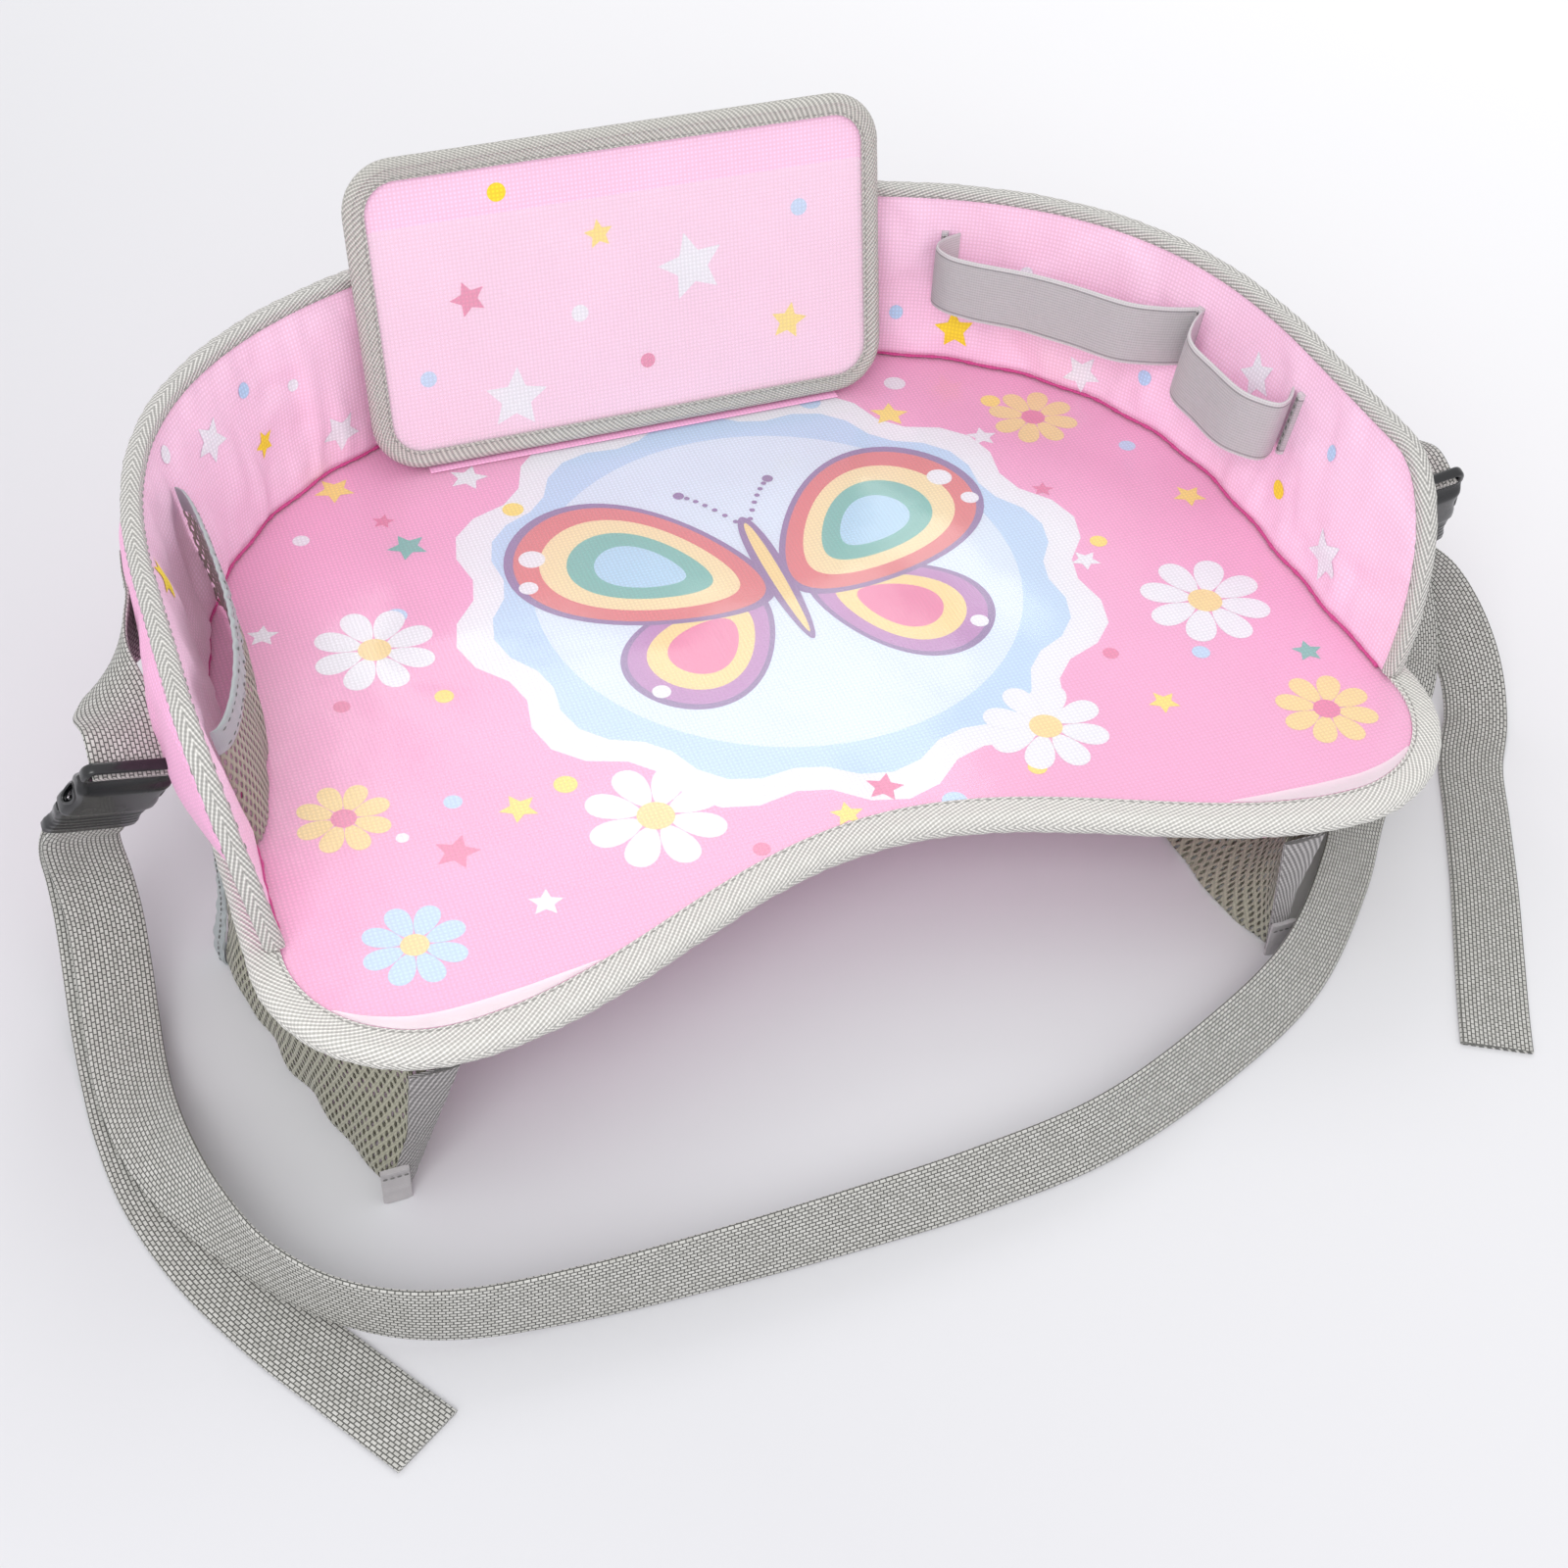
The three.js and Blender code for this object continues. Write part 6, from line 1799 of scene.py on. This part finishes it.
def socket_arch(u):
    """Half the socket's width: its sides draw in by up to 1.1 mm as sin^2 between its ends."""
    return MOUTH_HALF - 1.1 * np.sin(np.pi * np.clip((u - 3) / 16, 0, 1)) ** 2


def make_socket(b, name):
    """The socket: from the cavity's end out to the mouth's lip, then up the arched sides and over
    the shoulders to the flat frame. An oval window is cut through each side."""
    u = np.linspace(0, SHELL_LENGTH, 22)
    thick = 4.5 - 2.3 * smoothstep(u, 16.5, SHELL_LENGTH)
    cavity = [(18.5, 12.6, 2.4), (10, 13.5, 2.9), (0.6, 13.9, 2.95)]
    lip = [(0.15, 14.2, 3.2), (0.0, 14.7, 3.8), (0.25, 15.2, 4.3)]
    stations = cavity + lip + list(zip(u[1:], socket_arch(u)[1:], thick[1:]))
    stations += [(22.0, 14.6, 1.9), (22.3, 13.8, 1.4)]
    socket = b.shell(f"{name}_socket_shell", lofted(stations), TRAY)
    t = full_turn(32)
    cutters = []
    for way in (-1, 1):
        rows = []
        for x, grow in ((11.5, 1.0), (14.2, 1.0), (15.2, 1.12), (17.0, 1.4)):
            height = WINDOW_MIDDLE + 5.4 * grow * np.cos(t)
            rows.append(np.column_stack([np.full(32, way * x), 2.5 * grow * np.sin(t), height]))
        cutters.append(b.shell("cutter", np.stack(rows), None))
    carve(socket, cutters)
    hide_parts(f"buckle_{name}_socket")


def make_socket_trim(b, name):
    """A rounded rim about each window, a ring carried round its oval, and the frame whose slot
    holds the tab."""
    t, p = full_turn(40)[:, None], full_turn(8)[None, :]
    for way, which in ((-1, "left"), (1, "right")):
        wide, tall = 2.7 + 0.55 * np.cos(p), 5.6 + 0.55 * np.cos(p)
        across = socket_arch(WINDOW_MIDDLE + 5.6 * np.cos(t)) - 0.25 + 0.6 * np.sin(p)
        rim = np.stack([way * across, wide * np.sin(t), WINDOW_MIDDLE + tall * np.cos(t)], -1)
        rim = grid_piece(f"{name}_socket_window_rim_{which}", b.place(rim), BLACK, TRAY, ring=True)
    outline = round_rect(MOUTH_HALF, 20.2, 29, 3.6)
    slot = round_rect(12.8, 23, 27, 1.2, 6)
    b.plate(f"{name}_socket_frame", outline, 2.0, 1.0, TRAY, [slot])


def make_plug(b, name):
    """The plug: a hollow body, waisted as sin^2 and open at the strap's end, with four grip ridges
    that swell as exp(-x^2), and a flat centre tongue."""
    u = np.linspace(-16.6, -0.6, 50)
    waist = MOUTH_HALF - 0.9 * np.sin(np.pi * np.clip((u + 15) / 13, 0, 1)) ** 2
    ridge = sum(0.22 * np.exp(-(((u - at) / 0.75) ** 2)) for at in (-13.6, -11.2, -8.8, -6.4))
    hollow = [(-6, 12.6, 1.0), (-12, 13.4, 2.1), (-16.4, 13.9, 2.35)]
    lip = [(-16.9, 14.3, 2.5), (-17.0, 14.7, 2.75)]
    stations = hollow + lip + list(zip(u, waist, 2.75 + ridge)) + [(-0.35, 15.1, 2.6), (-0.3, 14.4, 2.1)]
    plug = b.shell(f"{name}_plug_body", lofted(stations, 0.4), f"{name}_plug")
    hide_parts(f"buckle_{name}_plug")
    tongue = round_rect(3.0, -1.2, 16.4, 1.4, 6)
    b.plate(f"{name}_plug_tongue", tongue, 1.5, 0.5, f"{name}_plug")


def make_prongs(b, name, side):
    """Two curved arms: the prong's outline with its corners cut twice at a quarter of each side."""
    right = PRONG
    for _ in range(2):
        onward = np.roll(right, -1, 0)
        right = np.stack([lerp(right, onward, 0.25), lerp(right, onward, 0.75)], 1).reshape(-1, 2)
    for which, way in (("inner", -side), ("outer", side)):
        outline = right if way > 0 else (right * (-1, 1))[::-1]
        prong = b.plate(f"{name}_prong_{which}_arm", outline, 1.95, 0.7, f"{name}_prong_{which}")
        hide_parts(f"buckle_{name}_prong_{which}")


def make_tab(b, name, side):
    """The webbing that carries the socket: sewn on the wall, then turned into the slot, its width
    turning with it. Its seam is a box of stitches with a cross, 14 by 19 mm."""
    middle = 47
    on_wall = lambda back, height, off: wall_place(side * (CORNER_LENGTH - 11 - back), height, off)
    stuck = [on_wall(back, middle, 10.2) for back in (24, 14, 4)]
    half = WEBBING_WIDTH / 2
    wall_across = unit(on_wall(4, middle + half, 10.2) - on_wall(4, middle - half, 10.2))
    into = b.slot + b.through * 12
    stand_off = lerp(into, stuck[-1], 0.5)
    stand_off[0] = into[0]
    places = np.array([*stuck, stand_off, into, b.slot + b.through * 2, b.slot - b.through * 2.5])
    turned = smoothstep(-places[:, 1], -4, -into[1])[:, None]
    across = unit(lerp(wall_across[None], -side * b.across[None], turned))
    grid, uv, _ = strip(np.hstack([places, across]), 1.5)
    tab = grid_piece(f"{name}_buckle_tab", grid, STRAP, TRAY, uv=uv)
    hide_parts(f"buckle_{name}_tab")
    near, far, low, high = 8, 22, middle - 9.5, middle + 9.5
    box = [(near, low), (far, low), (far, high), (near, high), (near, low)]
    line = even_steps(np.array(box + [(far, high), (far, low), (near, high)]), 3.1)
    spot = lambda at, off: on_wall(at[:, 0], at[:, 1], off)
    ahead = unit(np.gradient(line, axis=0))
    ahead = unit(spot(line + ahead, 11.1) - spot(line - ahead, 11.1))
    out = unit(spot(line, 12.1) - spot(line, 11.1))
    row = stitch_row(f"{name}_tab_seam", spot(line, 11.1), ahead, out, TRAY, DARK_THREAD, 2.4, 0.6)


def make_buckles():
    """Both buckles, from the places where the tab enters the socket and the strap the plug."""
    tab_end = (233, -66, 111)
    for name, side, strap_end in (("left", -1, (249, -48, 76)), ("right", 1, (243, -53.6, 71.6))):
        b = Buckle(side, tab_end, strap_end)
        make_socket(b, name)
        make_socket_trim(b, name)
        make_plug(b, name)
        make_prongs(b, name, side)
        make_tab(b, name, side)


# Light and floor

BACKGROUND = (0.955, 0.96, 0.97, 1.0)
GROUND_HALF = 6.0


def background_rays(tree):
    """1 for a ray that the camera sees straight, mirrored or through glass, else 0."""
    path = add(tree, "ShaderNodeLightPath").outputs
    mirrored = calc(tree, "MAXIMUM", path["Is Glossy Ray"], path["Is Transmission Ray"])
    return calc(tree, "MAXIMUM", path["Is Camera Ray"], mirrored)


def make_stage():
    """A pale floor whose colour whitens towards the right by the share x + 0.33 y + 0.2 in metres, as
    painted light, and fades into the background, an even dome, a large soft lamp from the front left, a
    smaller one behind, and a background that the camera sees nearly white."""
    mesh = bpy.data.meshes.new("ground")
    corners = [(x * GROUND_HALF, y * GROUND_HALF, 0) for x, y in ((-1, -1), (1, -1), (1, 1), (-1, 1))]
    mesh.from_pydata(corners, [], [(0, 1, 2, 3)])
    ground = bpy.data.objects.new("ground", mesh)
    bpy.context.scene.collection.objects.link(ground)
    made, tree, output = start_material("pale_floor")
    place = add(tree, "ShaderNodeTexCoord").outputs["Object"]
    parts = add(tree, "ShaderNodeSeparateXYZ", {0: place}).outputs
    # painted light: the floor's colour runs from grey on the left to white on the right, as a light falloff
    # would
    painted_light_share = calc(tree, "ADD", parts[0], calc(tree, "MULTIPLY_ADD", parts[1], 0.33, 0.2))
    painted_light_share = add(tree, "ShaderNodeMapRange", {"Value": painted_light_share}).outputs[0]
    colour = shade(tree, painted_light_share, linear("#dadade"), linear("#f7f7f9"))
    cloth = principled(tree, output, colour, None, 0.9, 0.1)
    away = add(tree, "ShaderNodeVectorMath", {0: place}, operation="LENGTH").outputs["Value"]
    fade = {"Value": away, "From Min": 0.6, "From Max": 2.2}
    fade = add(tree, "ShaderNodeMapRange", fade, interpolation_type="SMOOTHSTEP").outputs[0]
    sky = add(tree, "ShaderNodeEmission", {"Color": BACKGROUND, "Strength": 1.0}).outputs[0]
    values = {0: calc(tree, "MULTIPLY", fade, background_rays(tree)), 1: cloth.outputs[0], 2: sky}
    tree.links.new(add(tree, "ShaderNodeMixShader", values).outputs[0], output.inputs[0])
    mesh.materials.append(made)
    world = bpy.data.worlds.new("world")
    bpy.context.scene.world = world
    world.use_nodes = True
    tree = world.node_tree
    tree.nodes.clear()
    output = add(tree, "ShaderNodeOutputWorld")
    dome = add(tree, "ShaderNodeBackground", {"Color": (1, 1, 1, 1), "Strength": 0.86})
    seen = add(tree, "ShaderNodeBackground", {"Color": BACKGROUND, "Strength": 1.0})
    values = {0: background_rays(tree), 1: dome.outputs[0], 2: seen.outputs[0]}
    mixed = add(tree, "ShaderNodeMixShader", values)
    tree.links.new(mixed.outputs[0], output.inputs[0])
    for name, place, size, power in (
        ("key", (-0.8, -1.35, 1.35), 1.1, 16.0),
        ("back", (0.4, 1.3, 1.5), 0.8, 5.0),
    ):
        data = bpy.data.lights.new(name, "AREA")
        data.shape = "SQUARE"
        data.size = size
        data.energy = power
        lamp = bpy.data.objects.new(name, data)
        bpy.context.scene.collection.objects.link(lamp)
        back = unit(np.array(place, float))
        right = unit(np.cross((0, 0, 1), back))
        matrix = np.eye(4)
        matrix[:3, :3] = np.stack([right, np.cross(back, right), back], 1)
        matrix[:3, 3] = place
        lamp.matrix_world = Matrix(matrix.tolist())
    bpy.context.scene.view_settings.view_transform = "Standard"


# All together

make_base()
make_base_binding()
lining = make_wall()
make_wall_print(lining)
make_seam()
make_wall_binding()
make_panel_covers()
make_panel_binding()
make_panel_print()
make_hinge()
make_pencil_loops()
make_inner_pocket()
for pocket_name, pocket_foot in FEET.items():
    make_side_pocket(pocket_name, pocket_foot)
make_buckles()
for node, material in (
    ("base_board", BOARD),
    ("tablet_board", BOARD),
    ("base_foam_pad", FOAM),
    ("wall_foam_core", FOAM),
):
    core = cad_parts[node]
    core.data.materials.clear()
    core.data.materials.append(material)
make_stage()
